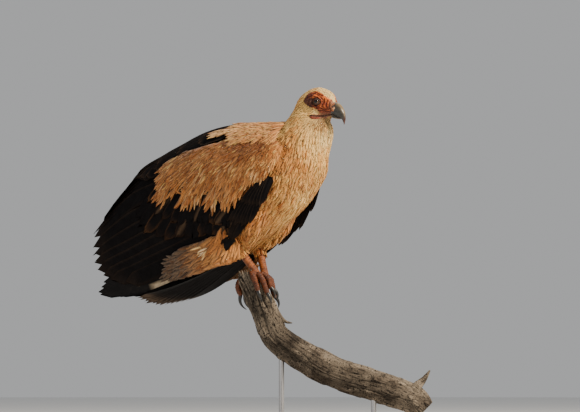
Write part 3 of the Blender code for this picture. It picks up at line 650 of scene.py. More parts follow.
def move_points(mesh, points):
    mesh.vertices.foreach_set("co", ((points + PERCH) * MM).astype(np.float32).ravel())
    mesh.update()


def applied(obj, *modifiers):
    """Adds each (kind, settings) modifier and applies them all."""
    for kind, settings in modifiers:
        modifier = obj.modifiers.new(kind.lower(), kind)
        for name, value in settings.items():
            setattr(modifier, name, value)
    graph = bpy.context.evaluated_depsgraph_get()
    graph.update()
    mesh = bpy.data.meshes.new_from_object(obj.evaluated_get(graph))
    obj.modifiers.clear()
    old, obj.data = obj.data, mesh
    bpy.data.meshes.remove(old)
    return obj


def melted(name, pieces, rounds):
    """One closed surface round several overlapping closed pieces, smoothed a number of times."""
    bm = bmesh.new()
    for mesh in pieces:
        bm.from_mesh(mesh)
    mesh = bpy.data.meshes.new(name)
    bm.to_mesh(mesh)
    bm.free()
    obj = bpy.data.objects.new(name, mesh)
    bpy.context.scene.collection.objects.link(obj)
    return applied(obj, ("REMESH", {"mode": "VOXEL", "voxel_size": VOXEL * MM}),
                   ("SMOOTH", {"factor": 0.5, "iterations": rounds}))


def make_skin(finish):
    """Makes the skin's piece. Returns it as a surface to lay feathers on, without the face's folds."""
    swollen = []
    for node in FLESH:
        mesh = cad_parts[node].data.copy()
        points, normals = mesh_arrays(mesh)
        move_points(mesh, points + 0.5 * normals)
        swollen.append(mesh)
    body = melted("blank_flesh", swollen, 8)
    points, normals = mesh_arrays(body.data)
    move_points(body.data, points - normals * coat_depth(points)[:, None])
    blanks = [body] + [build("blank_pad", *arm_pad(sign), None) for sign in SIDES.values()]
    skin = melted("skin", [blank.data for blank in blanks], 5)
    for blank in blanks:
        bpy.data.objects.remove(blank)
    shape_face(skin.data)
    skin.data.materials.append(finish)
    unwrap(skin)
    dress(skin, "skin_and_down", *FLESH)
    surface = Surface(skin)
    refine_face(skin.data)
    fold_face(skin.data)
    colour_skin(skin.data)
    return surface


def layered(made, *layers):
    """A colour with further (colour, share) layers blended over it in turn."""
    for colour, share in layers:
        made = blend(made, colour, share)
    return made


def shape_face(mesh):
    """Brow, eye socket and the cere's collar round the bill."""
    points, normals = mesh_arrays(mesh)
    lift = np.zeros(len(points))
    for sign in (1, -1):
        x = points[:, 0] - EYE_PLACE[0]
        z = points[:, 2] - EYE_PLACE[2]
        near = smoothstep(4, 10, points[:, 1] * sign)
        away = np.hypot(x, z * 1.15)
        lift += near * 1.0 * np.exp(-((away - 9.4) / 1.9) ** 2)
        lift += near * 2.6 * np.exp(-((z - 8.0 + 0.22 * x) / 2.6) ** 2) * np.exp(-((x - 1) / 10) ** 2)
        lift -= near * 1.6 * np.exp(-((z - 0.5) / 5.5) ** 2) * np.exp(-((x - 13) / 5.5) ** 2)
        lift -= near * 2.4 * np.exp(-(away / 6.4) ** 4)
    points = points + normals * lift[:, None]
    x, z = points[:, 0], points[:, 2]
    front = smoothstep(143, 151, x) * smoothstep(275, 284, z) * (1 - smoothstep(292, 301, z))
    points[:, 0] += 4.6 * front - 1.6 * smoothstep(145, 152, x) * smoothstep(297, 303, z)
    move_points(mesh, points)


# Creases of the bare skin, from over the eye to the mouth
CREASES = [
    [(107, 303), (111, 306.5), (117, 308.4), (124, 308.2), (130.6, 305.6), (135, 301.4), (136.4, 296.6)],
    [(116, 311.5), (121, 313), (126, 312.6), (131, 310), (136.5, 306), (140, 301.5)],
    [(121, 316), (126, 315.4), (132, 311.8), (137, 308.3)],
    [(142, 303.4), (141, 298.7), (139.2, 293.2)],
    [(146.6, 301), (145.6, 296.5), (144.6, 292), (146.6, 287)],
    [(114, 298), (116.5, 293.8), (121, 290.8), (128.4, 289.6), (133.8, 291.4), (137, 295)],
    [(127, 287.4), (134, 288.2), (140.4, 286.2), (148.3, 285.4), (153, 287)],
    [(131, 284), (137, 284.2), (143, 282.6), (151, 281.2)],
    [(151.6, 300.6), (150, 295.5), (150.4, 289), (152.4, 283), (154, 280.4)],
    [(139, 299), (137.6, 290.8), (141, 288.8)],
]
NOSTRIL = [(155.2, 288.8), (158.0, 295.0)]


def refine_face(mesh):
    """Splits the skin's faces round the eyes and mouth and rounds what that leaves faceted."""
    bm = bmesh.new()
    bm.from_mesh(mesh)

    def inside(vertex):
        x, _, z = vertex.co / MM - Vector(PERCH)
        return x > 101 and z > 267

    edges = [edge for edge in bm.edges if inside(edge.verts[0]) and inside(edge.verts[1])]
    bmesh.ops.subdivide_edges(bm, edges=edges, cuts=2, use_grid_fill=True)
    chosen = [vertex for vertex in bm.verts if inside(vertex)]
    for _ in range(4):
        bmesh.ops.smooth_vert(bm, verts=chosen, factor=0.5, use_axis_x=True, use_axis_y=True, use_axis_z=True)
    bm.to_mesh(mesh)
    bm.free()
    mesh.polygons.foreach_set("use_smooth", np.ones(len(mesh.polygons), bool))


def crease_depth(x, z):
    """How deep in a crease of the bare skin each place is, from 0 to 1."""
    deep = np.zeros(len(x))
    for line in CREASES:
        deep = np.maximum(deep, np.exp(-(line_gap(x, z, line) / 1.0) ** 2))
    return deep


def fold_face(mesh):
    """Creases, fine wrinkles, nostrils and the line of the mouth."""
    points, normals = mesh_arrays(mesh)
    x, z = points[:, 0], points[:, 2]
    on_side = smoothstep(3, 6, np.abs(points[:, 1]))
    bare = bareness(points)
    away = np.hypot(x - EYE_PLACE[0], z - EYE_PLACE[2])
    pebble = np.array([noise.noise(Vector(p) * 0.62) for p in points]) * 0.55
    ripple = np.sin(away * 2.1 + 3 * pebble) * np.exp(-((away - 13) / 6) ** 2) * 0.25
    lift = bare * (0.45 * pebble + ripple - 1.35 * crease_depth(x, z) + 0.35)
    mouth = line_gap(x, z, GAPE)
    open_here = smoothstep(112, 119, x) * (1 - smoothstep(132, 139, x))
    lift -= on_side * np.exp(-(mouth / 0.9) ** 2) * (0.8 + 1.2 * open_here)
    lift += on_side * 0.9 * np.exp(-(line_gap(x, z, LIP) / 1.3) ** 2)
    slit = line_gap(x, z, NOSTRIL)
    lift += on_side * (0.7 * np.exp(-((slit - 2.6) / 0.8) ** 2) - 1.8 * np.exp(-(slit / 1.4) ** 4))
    move_points(mesh, points + normals * lift[:, None])


def colour_skin(mesh):
    """The bare face's reds and darks, with painted shade in the orbits, creases, mouth, nostrils and under
    the bill, and round them the coat's own colours.
    """
    points, _ = mesh_arrays(mesh)
    x, y, z = points.T
    on_side = smoothstep(3, 6, np.abs(y))
    patchy = np.array([noise.noise(Vector(p) * 0.22) for p in points])
    # Painted shade in the orbit behind the eye
    orbit_shade = (1 - smoothstep(120.5, 124.5, x)) * (1 - smoothstep(304, 308, z))
    rim = smoothstep(158.2, 159.4, x - (z - 292) * 0.35) * smoothstep(282, 287, z) * (z < 300)
    face = layered(
        blend((0.155, 0.022, 0.006), (0.43, 0.095, 0.010), smoothstep(-0.5, 0.4, patchy)),
        # Darker towards the mouth: partly the skin's own colour and partly painted shade under the bill
        ((0.165, 0.042, 0.018), 0.75 * (1 - smoothstep(284, 292, z))),
        ((0.105, 0.036, 0.020), 0.85 * (1 - smoothstep(277, 283, z))),
        # Painted shade in the orbit behind and over the eye, and in the socket round it
        ((0.050, 0.018, 0.012), 0.94 * orbit_shade),
        ((0.075, 0.020, 0.011), 0.7 * (1 - smoothstep(113, 127, x)) * smoothstep(300, 305, z)),
        ((0.045, 0.015, 0.010), 0.8 * np.exp(-(line_gap(x, z, [(110, 309), (122, 311.4)]) / 1.8) ** 2)),
        ((0.030, 0.012, 0.008), np.exp(-(np.hypot(x - 127, z - 298.6) / 7.4) ** 6)),
        ((0.20, 0.085, 0.040), 0.85 * smoothstep(149, 151.5, x) * smoothstep(280, 286, z)),
        ((0.24, 0.155, 0.075), 0.75 * rim),
        # Painted shade in the creases
        ((0.050, 0.010, 0.006), 0.9 * crease_depth(x, z)),
    )
    mouth = line_gap(x, z, GAPE)
    # Brown along the mouth: partly the skin's own colour and partly painted shade under the bill
    jaw = 1 - smoothstep(1.6, 3.0, line_gap(x, z, GAPE[2:]))
    cheek_fold = np.exp(-((line_gap(x, z, GAPE[1:5]) - 3.4) / 1.5) ** 2) * (z > 276)
    cheek_fold = cheek_fold * smoothstep(111, 117, x) * (1 - smoothstep(132, 137, x))
    # Brown at the chin: partly its own colour and partly painted shade under the bill
    chin = smoothstep(131, 139, x) * (1 - smoothstep(277, 281, z)) * smoothstep(266, 270, z)
    made = layered(
        blend(coat_colour(points) * 0.75, face, bareness(points)),
        ((0.115, 0.040, 0.022), on_side * jaw),
        ((0.22, 0.085, 0.032), on_side * 0.75 * cheek_fold),
        ((0.125, 0.012, 0.006), on_side * np.exp(-(line_gap(x, z, LIP) / 1.25) ** 4)),
        ((0.13, 0.050, 0.026), on_side * 0.85 * chin),
        # Painted shade in the line of the mouth and in the nostrils
        ((0.014, 0.006, 0.005), on_side * np.exp(-mouth**2) * (0.55 + 0.45 * smoothstep(114, 119, x))),
        ((0.010, 0.006, 0.005), on_side * np.exp(-(line_gap(x, z, NOSTRIL) / 1.55) ** 6)),
    )
    low = samples(COVERT_LOW, np.clip(x, -190, 88))[:, 0]
    on_wing_side = (np.abs(y) > 52) & (x < 70) & (z < low + 46) & (z > low - 30)
    paint(mesh, np.where(on_wing_side[:, None], BLACK, made))


def unwrap(obj):
    """Cuts the skin's own surface into flat islands, as its OFBake map."""
    obj.data.uv_layers.new(name="OFBake")
    bpy.ops.object.select_all(action="DESELECT")
    obj.select_set(True)
    bpy.context.view_layer.objects.active = obj
    bpy.ops.object.mode_set(mode="EDIT")
    bpy.ops.mesh.select_all(action="SELECT")
    bpy.ops.uv.smart_project(angle_limit=math.radians(66), island_margin=0.003)
    bpy.ops.object.mode_set(mode="OBJECT")


class Surface:
    """The skin as something to lay feathers on."""

    def __init__(self, obj):
        mesh = obj.data
        points, vertex_normals = mesh_arrays(mesh)
        corners = column(mesh.loops, "vertex_index", kind=np.int32)
        starts = column(mesh.polygons, "loop_start", kind=np.int32)
        faces = np.stack([corners[starts + k] for k in range(4)], axis=-1)
        self.tree = BVHTree.FromPolygons(points.tolist(), faces.tolist())
        self.normals = unit(vertex_normals[faces].mean(axis=1))
        self.places = column(mesh.uv_layers["OFBake"].data, "uv", 2)[starts]
        self.middles = points[faces].mean(axis=1)
        self.areas = quad_areas(points, faces)

    def nearest(self, point):
        where, _, index, _ = self.tree.find_nearest(point)
        return where, Vector(self.normals[index])


def scatter(surface, keep, spacing):
    """Faces to grow feathers from: spread evenly, `spacing` millimetres apart, where keep is true."""
    chosen = np.flatnonzero(keep)
    tries = CHANCE.choice(chosen, size=len(chosen) * 3, p=surface.areas[chosen] / surface.areas[chosen].sum())
    places = surface.middles[tries] + CHANCE.normal(0, 0.5, (len(tries), 3))
    cell, taken, kept = 2.5, {}, []

    def crowded(place, gap, key):
        reach = int(gap // cell) + 1
        around = range(-reach, reach + 1)
        return any(
            abs(other[0] - place[0]) < gap and ((other - place) ** 2).sum() < gap * gap
            for i in around for j in around for k in around
            for other in taken.get((key[0] + i, key[1] + j, key[2] + k), ())
        )

    for face, place, gap in zip(tries, places, np.broadcast_to(spacing, keep.shape)[tries]):
        key = tuple((place // cell).astype(int))
        if not crowded(place, gap, key):
            taken.setdefault(key, []).append(place)
            kept.append(face)
    return np.array(kept)


# ---- Small feathers ----
# Along a vane: how far each row of its points lies, how wide it is there and how light
FAR = np.array((0.0, 0.30, 0.62, 0.87, 1.0))
WIDE = np.array((0.45, 1.0, 0.92, 0.55, 0.10))
LIGHT = np.array((0.74, 0.90, 1.0, 1.05, 1.08))
PATCH = 0.003


class Ground(Surface):
    """A grid of points with outward normals to lay feathers on, each quad split in 16 to root them evenly."""

    def __init__(self, grid, normals, skin, closed=False):
        quads = grid_quads(grid.shape[0], grid.shape[1], closed)
        points = grid.reshape(-1, 3)
        corners = points[quads]
        self.tree = BVHTree.FromPolygons(points.tolist(), quads.tolist())
        self.normals = unit(normals.reshape(-1, 3)[quads].mean(axis=1))
        self.areas = np.repeat(quad_areas(points, quads) / 16, 16)
        places = np.array([skin.places[skin.tree.find_nearest(p)[2]] for p in corners.mean(axis=1)])
        self.places = np.repeat(places, 16, axis=0)
        steps = (np.arange(4) + 0.5) / 4
        u, v = (side.ravel() for side in np.meshgrid(steps, steps))
        weights = np.stack([(1 - u) * (1 - v), u * (1 - v), u * v, (1 - u) * v], axis=1)
        self.middles = np.einsum("kc,fcd->fkd", weights, corners).reshape(-1, 3)


def clamp(value):
    return min(1, max(0, value))


def wing_ground(sign, skin, over=0.0):
    """The folded wing's side, swollen where its coverts lie."""
    grid, normals = np.empty((74, 40, 3)), np.empty((74, 40, 3))
    for i, x in enumerate(evenly(74, 96, -344)):
        inside = clamp((x + 205) / 60) * clamp((96 - x) / 20)
        top, low = COVERT_TOP(x)[0], at_height(x, COVERT_LOW(x)[0])
        for j, degrees in enumerate(evenly(40, 0, 150)):
            down = clamp((degrees - top) / max(low - top, 1))
            here, outward = wing_frame(x, degrees)
            cape = over * clamp((56 - degrees) / 14)
            here = here + outward * (0.4 + cape + 3.8 * inside * math.sin(math.pi * down) ** 0.6)
            grid[i, j], normals[i, j] = mirrored(here, sign), mirrored(outward, sign)
    return Ground(grid, normals, skin)


def cuff_ground(sign, hub, skin):
    """The cone of the feathered leg, from inside the thigh to a little below the heel."""
    heel = np.array(HEEL, float) * (1, sign, 1)
    down = unit(np.array(hub, float) - heel)
    high = np.array((-2.0, 6.0 * sign, 24.0))
    centres, radii = [], []
    for share in evenly(10):
        far = -30 + 50 * share
        centres.append(heel + down * far + high * max(0.0, -far / 30) * 0.5)
        radii.append(8.6 + 11.5 * (1 - share) ** 1.5)
    grid = tube_grid(np.array(centres), radii, 24, (1, 0, 0))
    normals = unit(grid - np.array(centres)[:, None])
    return Ground(grid, normals, skin, closed=True), down


def vanes(surface, faces, length, width, rise, locks=1, spread=0.25, colour=coat_colour, pale=0.05,
          lie=lie_at):
    """Small closed feathers laid on a surface from the middles of the given faces."""
    faces = np.repeat(faces, locks)
    count = len(faces)
    roots = surface.middles[faces]
    flow, usual = lie(roots)
    reach = usual * length * CHANCE.uniform(0.78, 1.15, count)
    fan = (np.tile(np.arange(locks), count // locks) - (locks - 1) / 2) * spread
    turn = fan + CHANCE.normal(0, 0.13, count)
    lifts = rise * CHANCE.uniform(0.6, 1.45, count)
    halves = reach * width * CHANCE.uniform(0.8, 1.2, count) / 2
    jitter = CHANCE.normal(0, 0.6, (count, 3)) * (locks > 1)
    centres = np.empty((count, len(FAR), 3))
    normals = np.empty_like(centres)
    for i in range(count):
        where, normal = surface.nearest(Vector(roots[i] + jitter[i]))
        ahead = Vector(flow[i])
        ahead = (ahead - normal * ahead.dot(normal)).normalized()
        ahead = (ahead + math.tan(turn[i]) * normal.cross(ahead)).normalized()
        last = 0.0
        for k, far in enumerate(FAR):
            if k:
                where, normal = surface.nearest(where + ahead * (far - last) * reach[i])
                ahead = (ahead - normal * ahead.dot(normal)).normalized()
            last = far
            centres[i, k] = where + normal * (reach[i] * lifts[i] * far - 0.25 * (k == 0))
            normals[i, k] = normal
    shade = CHANCE.uniform(0.86, 1.13, count)
    pick = CHANCE.random(count)
    base = colour(roots + CHANCE.normal(0, 4, (count, 3))) * shade[:, None]
    cloud = np.array([
        noise.noise(Vector(p) / 15) + 0.5 * noise.noise(Vector(p) / 6 + Vector((9, 9, 9))) for p in roots
    ])
    stain = smoothstep(0.02, 0.42, cloud)[:, None] * 0.75
    base = base * (1 - stain * np.array((0.22, 0.40, 0.55)))
    base = base * (1 - (pick < 0.06)[:, None] * np.array((0.35, 0.50, 0.62)))
    base = np.where((pick > 1 - pale)[:, None], base * 0.4 + np.array(CREAM) * 0.55, base)
    return vane_arrays(centres, normals, halves, base, surface.places[faces], reach)


def grown(surface, keep, spacing, *shape, **look):
    """Small feathers scattered where keep is true."""
    return vanes(surface, scatter(surface, keep, spacing), *shape, **look)


def vane_arrays(centres, normals, halves, base, where, reach):
    """The points, quads, tints and two maps of many small feathers, each a tube of four-sided rings."""
    count, steps = centres.shape[:2]
    across = unit(np.cross(normals, unit(np.gradient(centres, axis=1))))
    wide = WIDE * halves[:, None]
    thick = 0.09 * wide + 0.12
    sunk = normals * (0.10 * wide)[..., None]
    ring = np.stack([
        centres - across * wide[..., None] - sunk, centres + normals * thick[..., None],
        centres + across * wide[..., None] - sunk, centres - normals * (0.4 * thick)[..., None],
    ], axis=2)
    tone = LIGHT[None, :, None] * np.array((1.0, 0.90, 1.0, 0.75))
    tint = (base[:, None, None, :] * tone[..., None]).reshape(-1, 3)
    off = np.array((-1.0, 0.0, 1.0, 0.0))
    vane = np.empty((count, steps, 4, 2))
    vane[..., 0] = off * wide[..., None]
    vane[..., 1] = (FAR * reach[:, None])[..., None] + CHANCE.uniform(0, 90, count)[:, None, None]
    bake = np.empty((count, steps, 4, 2))
    bake[..., 0] = where[:, None, None, 0] + PATCH * 0.5 * off
    bake[..., 1] = where[:, None, None, 1] + PATCH * (FAR[None, :, None] - 0.5)
    last = 4 * (steps - 1)
    ends = np.array([(3, 2, 1, 0), (last, last + 1, last + 2, last + 3)])
    _, one = facing_out(ring[0].reshape(-1, 3), np.concatenate([grid_quads(steps, 4, True), ends]))
    quads = (one[None] + 4 * steps * np.arange(count)[:, None, None]).reshape(-1, 4)
    return [ring.reshape(-1, 3), quads, tint, vane.reshape(-1, 2), bake.reshape(-1, 2)]


def coat_piece(name, finish, slot, parts, *nodes):
    """One piece from many feathers' arrays."""
    points, quads, tint, vane, bake = joined(parts)
    return dress(build(name, points, quads, finish, tint, {"Vane": vane, "OFBake": bake}), slot, *nodes)


# ---- Large feathers ----
# Across a flight feather, from one edge to the other
COLUMNS = np.array((-1.0, -0.62, -0.10, 0.0, 0.10, 0.62, 1.0))
THICKNESS = np.array((0.45, 0.8, 1, 1.3, 1, 0.8, 0.45))


def plume(frames, half, out, roll=0.06, lead=0.42, round_from=0.78, thick=0.7, ragged=1.5, point=0.5):
    """One flight feather as a thin closed slab. frames are its (points, outward normals) from root to tip."""
    middle, outward = frames
    steps = len(middle)
    share = np.linspace(0, 1, steps)
    ahead = unit(np.gradient(middle, axis=0))
    across = unit(np.cross(outward, ahead))
    body = np.minimum(1, 0.35 + share * 6)
    rounding = np.clip(share - round_from, 0, 1) / (1 - round_from)
    tail = np.sqrt(np.clip(1 - rounding**2, 0, 1)) ** (2 * point)
    wide = half * 2 * body * np.maximum(tail, 0.04)
    off = np.where(COLUMNS < 0, COLUMNS * lead, COLUMNS * (1 - lead))[None, :] * wide[:, None]
    shaft = np.where(np.abs(COLUMNS) < 0.05, 0.55, 0.0)[None, :] * (1.05 - share[:, None])
    height = out - roll * off - off**2 / 190 + shaft
    fray = CHANCE.normal(0, ragged, (steps, len(COLUMNS))) * smoothstep(0.7, 1.0, share)[:, None]
    fray[:, 3] = 0
    top = (
        middle[:, None] + across[:, None] * off[..., None] + outward[:, None] * height[..., None]
        + ahead[:, None] * fray[..., None]
    )
    depth = (thick * (1 - 0.6 * share))[:, None] * THICKNESS
    length = np.linalg.norm(np.diff(middle, axis=0), axis=1).sum()
    vane = np.stack([off, np.broadcast_to(share[:, None] * length, off.shape)], axis=-1).reshape(-1, 2)
    grid = np.stack(np.broadcast_arrays((COLUMNS + 1)[None, :] / 2, share[:, None]), axis=-1).reshape(-1, 2)
    return *slab(top, top - outward[:, None] * depth[..., None]), np.tile(vane, (2, 1)), np.tile(grid, (2, 1))


def spaced(count):
    """The middles of equal steps from 0 to 1."""
    return [(i + 0.5) / count for i in range(count)]


def plumes(name, finish, slot, made, *nodes):
    """One piece from (plume, colour function) pairs, each on a bake strip of its own."""
    parts = []
    count = len(made)
    for i, ((points, quads, vane, grid), colour) in enumerate(made):
        tint = np.array([colour(along, abs(2 * side - 1), side) for side, along in grid])
        bake = np.stack([(i + 0.05 + 0.9 * grid[:, 0]) / count, 0.02 + 0.96 * grid[:, 1]], axis=-1)
        parts.append([points, quads, tint, vane, bake])
    return coat_piece(name, finish, slot, parts, *nodes)


def on_wing(points):
    return [(x, at_height(x, z), 0) for x, z in points]


def between(first, last, share):
    return [a + (b - a) * share for a, b in zip(first, last)]


def wing_plume(root, tip, sign, steps, half, out, **shape):
    """A flight feather on the wing's side, between places of (x, angle)."""
    frames = [wing_frame(*between(root, tip, share)[:2]) for share in evenly(steps)]
    middle, outward = (np.array([mirrored(v, sign) for v in row]) for row in zip(*frames))
    return plume((middle, outward), half, out, **shape)


def edged(rim, strength, tip_from=0.8, streak=None):
    """A black feather's colour, with a paler rim and tip, and some with a streak along the shaft."""
    def colour(along, off_shaft, _):
        made = blend(BLACK, rim, float(smoothstep(0.72, 1.0, off_shaft)) * strength)
        made = blend(made, rim, float(smoothstep(tip_from, 1.0, along)) * strength)
        return blend(made, streak, 0.6) if streak and off_shaft < 0.2 else made

    return colour


PRIMARY_ROOTS = curve(on_wing([(-8, 66), (0, 80), (5, 94), (6, 108), (0, 120)]))
PRIMARY_TIPS = curve(on_wing([(-240, -9), (-298, -13), (-326, -12), (-318, 0), (-308, 13)]))
SECONDARY_ROOTS = curve(on_wing([
    (-6, 86), (-4, 108), (-20, 136), (-46, 168), (-76, 200), (-108, 228), (-140, 246),
]))
SECONDARY_TIPS = curve(on_wing([
    (-236, 5), (-303, 17), (-330, 42), (-335, 73), (-343, 103), (-325, 132), (-278, 174),
]))
GREATER_ROOTS = curve(on_wing([(30, 116), (4, 116), (-30, 140), (-66, 156), (-104, 168), (-150, 192)]))
GREATER_TIPS = curve(on_wing([(-6, 78), (-34, 84), (-78, 78), (-120, 74), (-192, 86), (-232, 122)]))
ALULA_FRONT = curve(on_wing([(75, 171), (71, 150), (60, 126), (46, 104), (21, 80), (-6, 68)]))
ALULA_REAR = curve(on_wing([(67, 171), (41, 156), (14, 133), (-8, 111), (-17, 91), (-11, 69)]))
DULL = (0.035, 0.022, 0.014)


def make_wing(side, sign, black, pale):
    """One wing's flight feathers, greater coverts, alula and scapulars."""
    def finished(name, finish, slot, made, *nodes):
        plumes(f"{name}_{side}", finish, slot, made, *(f"wing_{side}_{node}" for node in nodes))
        made.clear()

    made = []
    for share in spaced(13):
        root, tip = SECONDARY_ROOTS(share), SECONDARY_TIPS(share)
        tip[0] += CHANCE.uniform(-4, 3)
        shape = wing_plume(root, tip, sign, 15, 15.5, -5.6 + 2.6 * share, roll=0.07, round_from=0.84,
                           ragged=2.4)
        made.append((shape, edged(DULL, 0.3, 0.86)))
    finished("secondaries", black, "black_vane", made, "secondaries")

    # Painted shade: the primaries' white middles are painted black, all but a strip along the lower edge,
    # full on the first and faint on the rest
    for i, share in enumerate(spaced(6)):
        def colour(along, off_shaft, across, whiteness=0.10 if i else 1.0):
            low_edge = across if sign < 0 else 1 - across
            white = (1 - smoothstep(0.76, 0.82, along + 0.05 * off_shaft)) * smoothstep(0.30, 0.55, along)
            white = float(white * smoothstep(0.60, 0.78, low_edge)) * whiteness
            return np.array(BLACK) + np.array((0.50, 0.38, 0.24)) * white

        shape = wing_plume(PRIMARY_ROOTS(share), PRIMARY_TIPS(share), sign, 15, 10.5, -10.2 + 2.2 * share,
                           roll=0.08, round_from=0.86, point=0.6)
        made.append((shape, colour))
    finished("primaries", pale, "pale_vane", made, "primaries")

    for count, reach, out, half in ((14, 1.0, -1.6, 13), (16, 0.66, -0.5, 10)):
        for share in spaced(count):
            root, tip = GREATER_ROOTS(share), GREATER_TIPS(share)
            tip = [a + (b - a) * reach * CHANCE.uniform(0.90, 1.06) for a, b in zip(root, tip)]
            rim = blend(BLACK, BROWN, CHANCE.uniform(0.0, 1.0) ** 3)
            streak = (0.085, 0.052, 0.030) if CHANCE.random() < 0.16 else None
            shape = wing_plume(root, tip, sign, 11, half, out, roll=0.05, ragged=2.5, round_from=0.66)
            made.append((shape, edged(rim, 0.6, 0.84, streak)))
    finished("greater_coverts", black, "black_vane", made)

    rows = ((6, 0.16, 1.0, -0.6, 7.0), (7, 0.04, 0.72, 0.6, 6.0), (6, 0.0, 0.42, 1.6, 6.0))
    for count, first, last, out, half in rows:
        for across in spaced(count):
            root, tip = (between(ALULA_FRONT(share), ALULA_REAR(share), across)
                         for share in (first, last * CHANCE.uniform(0.93, 1.0)))
            shape = wing_plume(root, tip, sign, 11, half, out + 0.8 * (1 - across), roll=0.1, round_from=0.6,
                               ragged=1.2)
            made.append((shape, edged(DULL, 0.4)))
    finished("alula", black, "black_vane", made, "alula")

    for row in range(5):
        for i in range(6):
            across = (i + 0.5 + 0.5 * (row % 2)) / 6.5
            degrees = 1.5 + 37 * across
            first = -30 - 6 * across - 40 * row
            last = first - (70 + 11 * row) * CHANCE.uniform(0.9, 1.08) * (1 - 0.15 * across)
            last = max(last, -262 + 60 * across**2)
            shape = wing_plume((first, degrees), (last, degrees + 1.5), sign, 11, 9.5 + row, 2.6 - 0.4 * row,
                               roll=0.05, round_from=0.66, ragged=2.0, point=0.7)
            made.append((shape, edged(DULL, 0.5)))
    finished("scapulars", black, "black_vane", made, "scapulars")


def tail_frame(back, side, out):
    """(point, upward normal) on the tail: back is how far along it, side is across it."""
    bend = 0.0076 * back / TAIL_LENGTH - 0.006
    c, s = math.cos(TAIL_SLOPE), math.sin(TAIL_SLOPE)
    high = out + bend * side * side
    point = np.array(TAIL_BASE) + np.array((-back * c - high * s, side, -back * s + high * c))
    slope = -2 * bend * side
    return point, unit(np.array((-s, slope, c)))


def make_tail(black):
    """The tail's twelve feathers, each across the fan from the one before."""
    # Black with a dim grey-brown band at the tips: the band is partly worn and partly painted shade
    def colour(along, off_shaft, _):
        pale = 0.8 * smoothstep(0.83, 0.90, along) * (1 - 0.6 * off_shaft**4)
        return blend(BLACK, (0.075, 0.052, 0.036), pale)

    made = []
    for step in spaced(12):
        across = 2 * step - 1
        length = TAIL_LENGTH * (1 - 0.08 * across**2) * CHANCE.uniform(0.985, 1.01)
        middle, up = [], []
        for share in evenly(14):
            back = 4 + (length - 4) * share
            side = across * (22 + 60 * back / TAIL_LENGTH)
            point, normal = tail_frame(back, side, 1.6 + 1.2 * (1 - abs(across)))
            middle.append(point)
            up.append(normal)
        shape = plume((np.array(middle), np.array(up)), 11.5, 0.0, roll=0.07 * np.sign(across), lead=0.5,
                      round_from=0.90, ragged=2.2, thick=0.8)
        made.append((shape, colour))
    plumes("tail_feathers", black, "black_vane", made, "tail")


# ---- Bill, eyes, legs ----
BILL_TOP = [
    (152, 299), (158.5, 297.4), (164, 293.4), (168.8, 287), (172, 279), (173.2, 269.5), (171.2, 260),
]
BILL_EDGE = [
    (151.5, 278), (157.5, 275), (162, 272.8), (165.6, 270.9), (168.6, 268.4), (170.2, 264), (170.7, 259.6),
]
BILL_HALF = (11.4, 10.4, 9.0, 7.0, 4.6, 2.4, 0.5)
LOWER_TOP = [(151, 277), (157, 274.4), (161, 272.4), (164, 271)]
LOWER_EDGE = [(151, 271.6), (157, 270.2), (161, 269.3), (163.8, 269.8)]
LOWER_HALF = (8.6, 7.6, 5.4, 2.2)
SLATE = (0.022, 0.022, 0.020)
PALE_HORN = (0.13, 0.12, 0.105)
CULMEN = (0.19, 0.125, 0.050)
DARK_TIP = (0.042, 0.012, 0.007)


def horn_sheath(tops, edges, halves, swell):
    """An arched sheath of horn: rings across it from its base to its tip, and their tints."""
    top_at, edge_at, half_at = curve(tops), curve(edges), curve(halves)
    rings, tints = [], []
    angles = np.linspace(0, math.pi, 25)
    for share in evenly(34):
        (top_x, top_z), (edge_x, edge_z), (half,) = top_at(share), edge_at(share), half_at(share)
        arch = np.sin(angles) ** 0.8
        across = max(half, 0.4) * np.cos(angles)
        ring = np.stack([edge_x + (top_x - edge_x) * arch, across, edge_z + (top_z - edge_z) * arch], axis=-1)
        under = np.linspace(ring[-1], ring[0], 8)[1:-1]
        under[:, 2] += swell * (0.6 + half / 8)
        rings.append(np.concatenate([ring, under]))
        base = blend(SLATE, PALE_HORN, 0.6 * (1 - smoothstep(0.0, 0.10, share)))
        base = blend(base, DARK_TIP, smoothstep(0.66, 0.92, share))
        ridge = 0.8 * smoothstep(0.06, 0.24, share) * (1 - smoothstep(0.66, 0.84, share))
        tints.append(blend(base, CULMEN, ridge * np.concatenate([np.sin(angles) ** 5, np.zeros(6)])))
    return np.array(rings), tints


def make_bill(horn):
    for node, *form in (
        ("bill_upper", BILL_TOP, BILL_EDGE, BILL_HALF, 0.9),
        ("bill_lower", LOWER_EDGE, LOWER_TOP, LOWER_HALF, -0.4),
    ):
        tube_piece(f"{node}_horn", *horn_sheath(*form), horn, "horn", node)


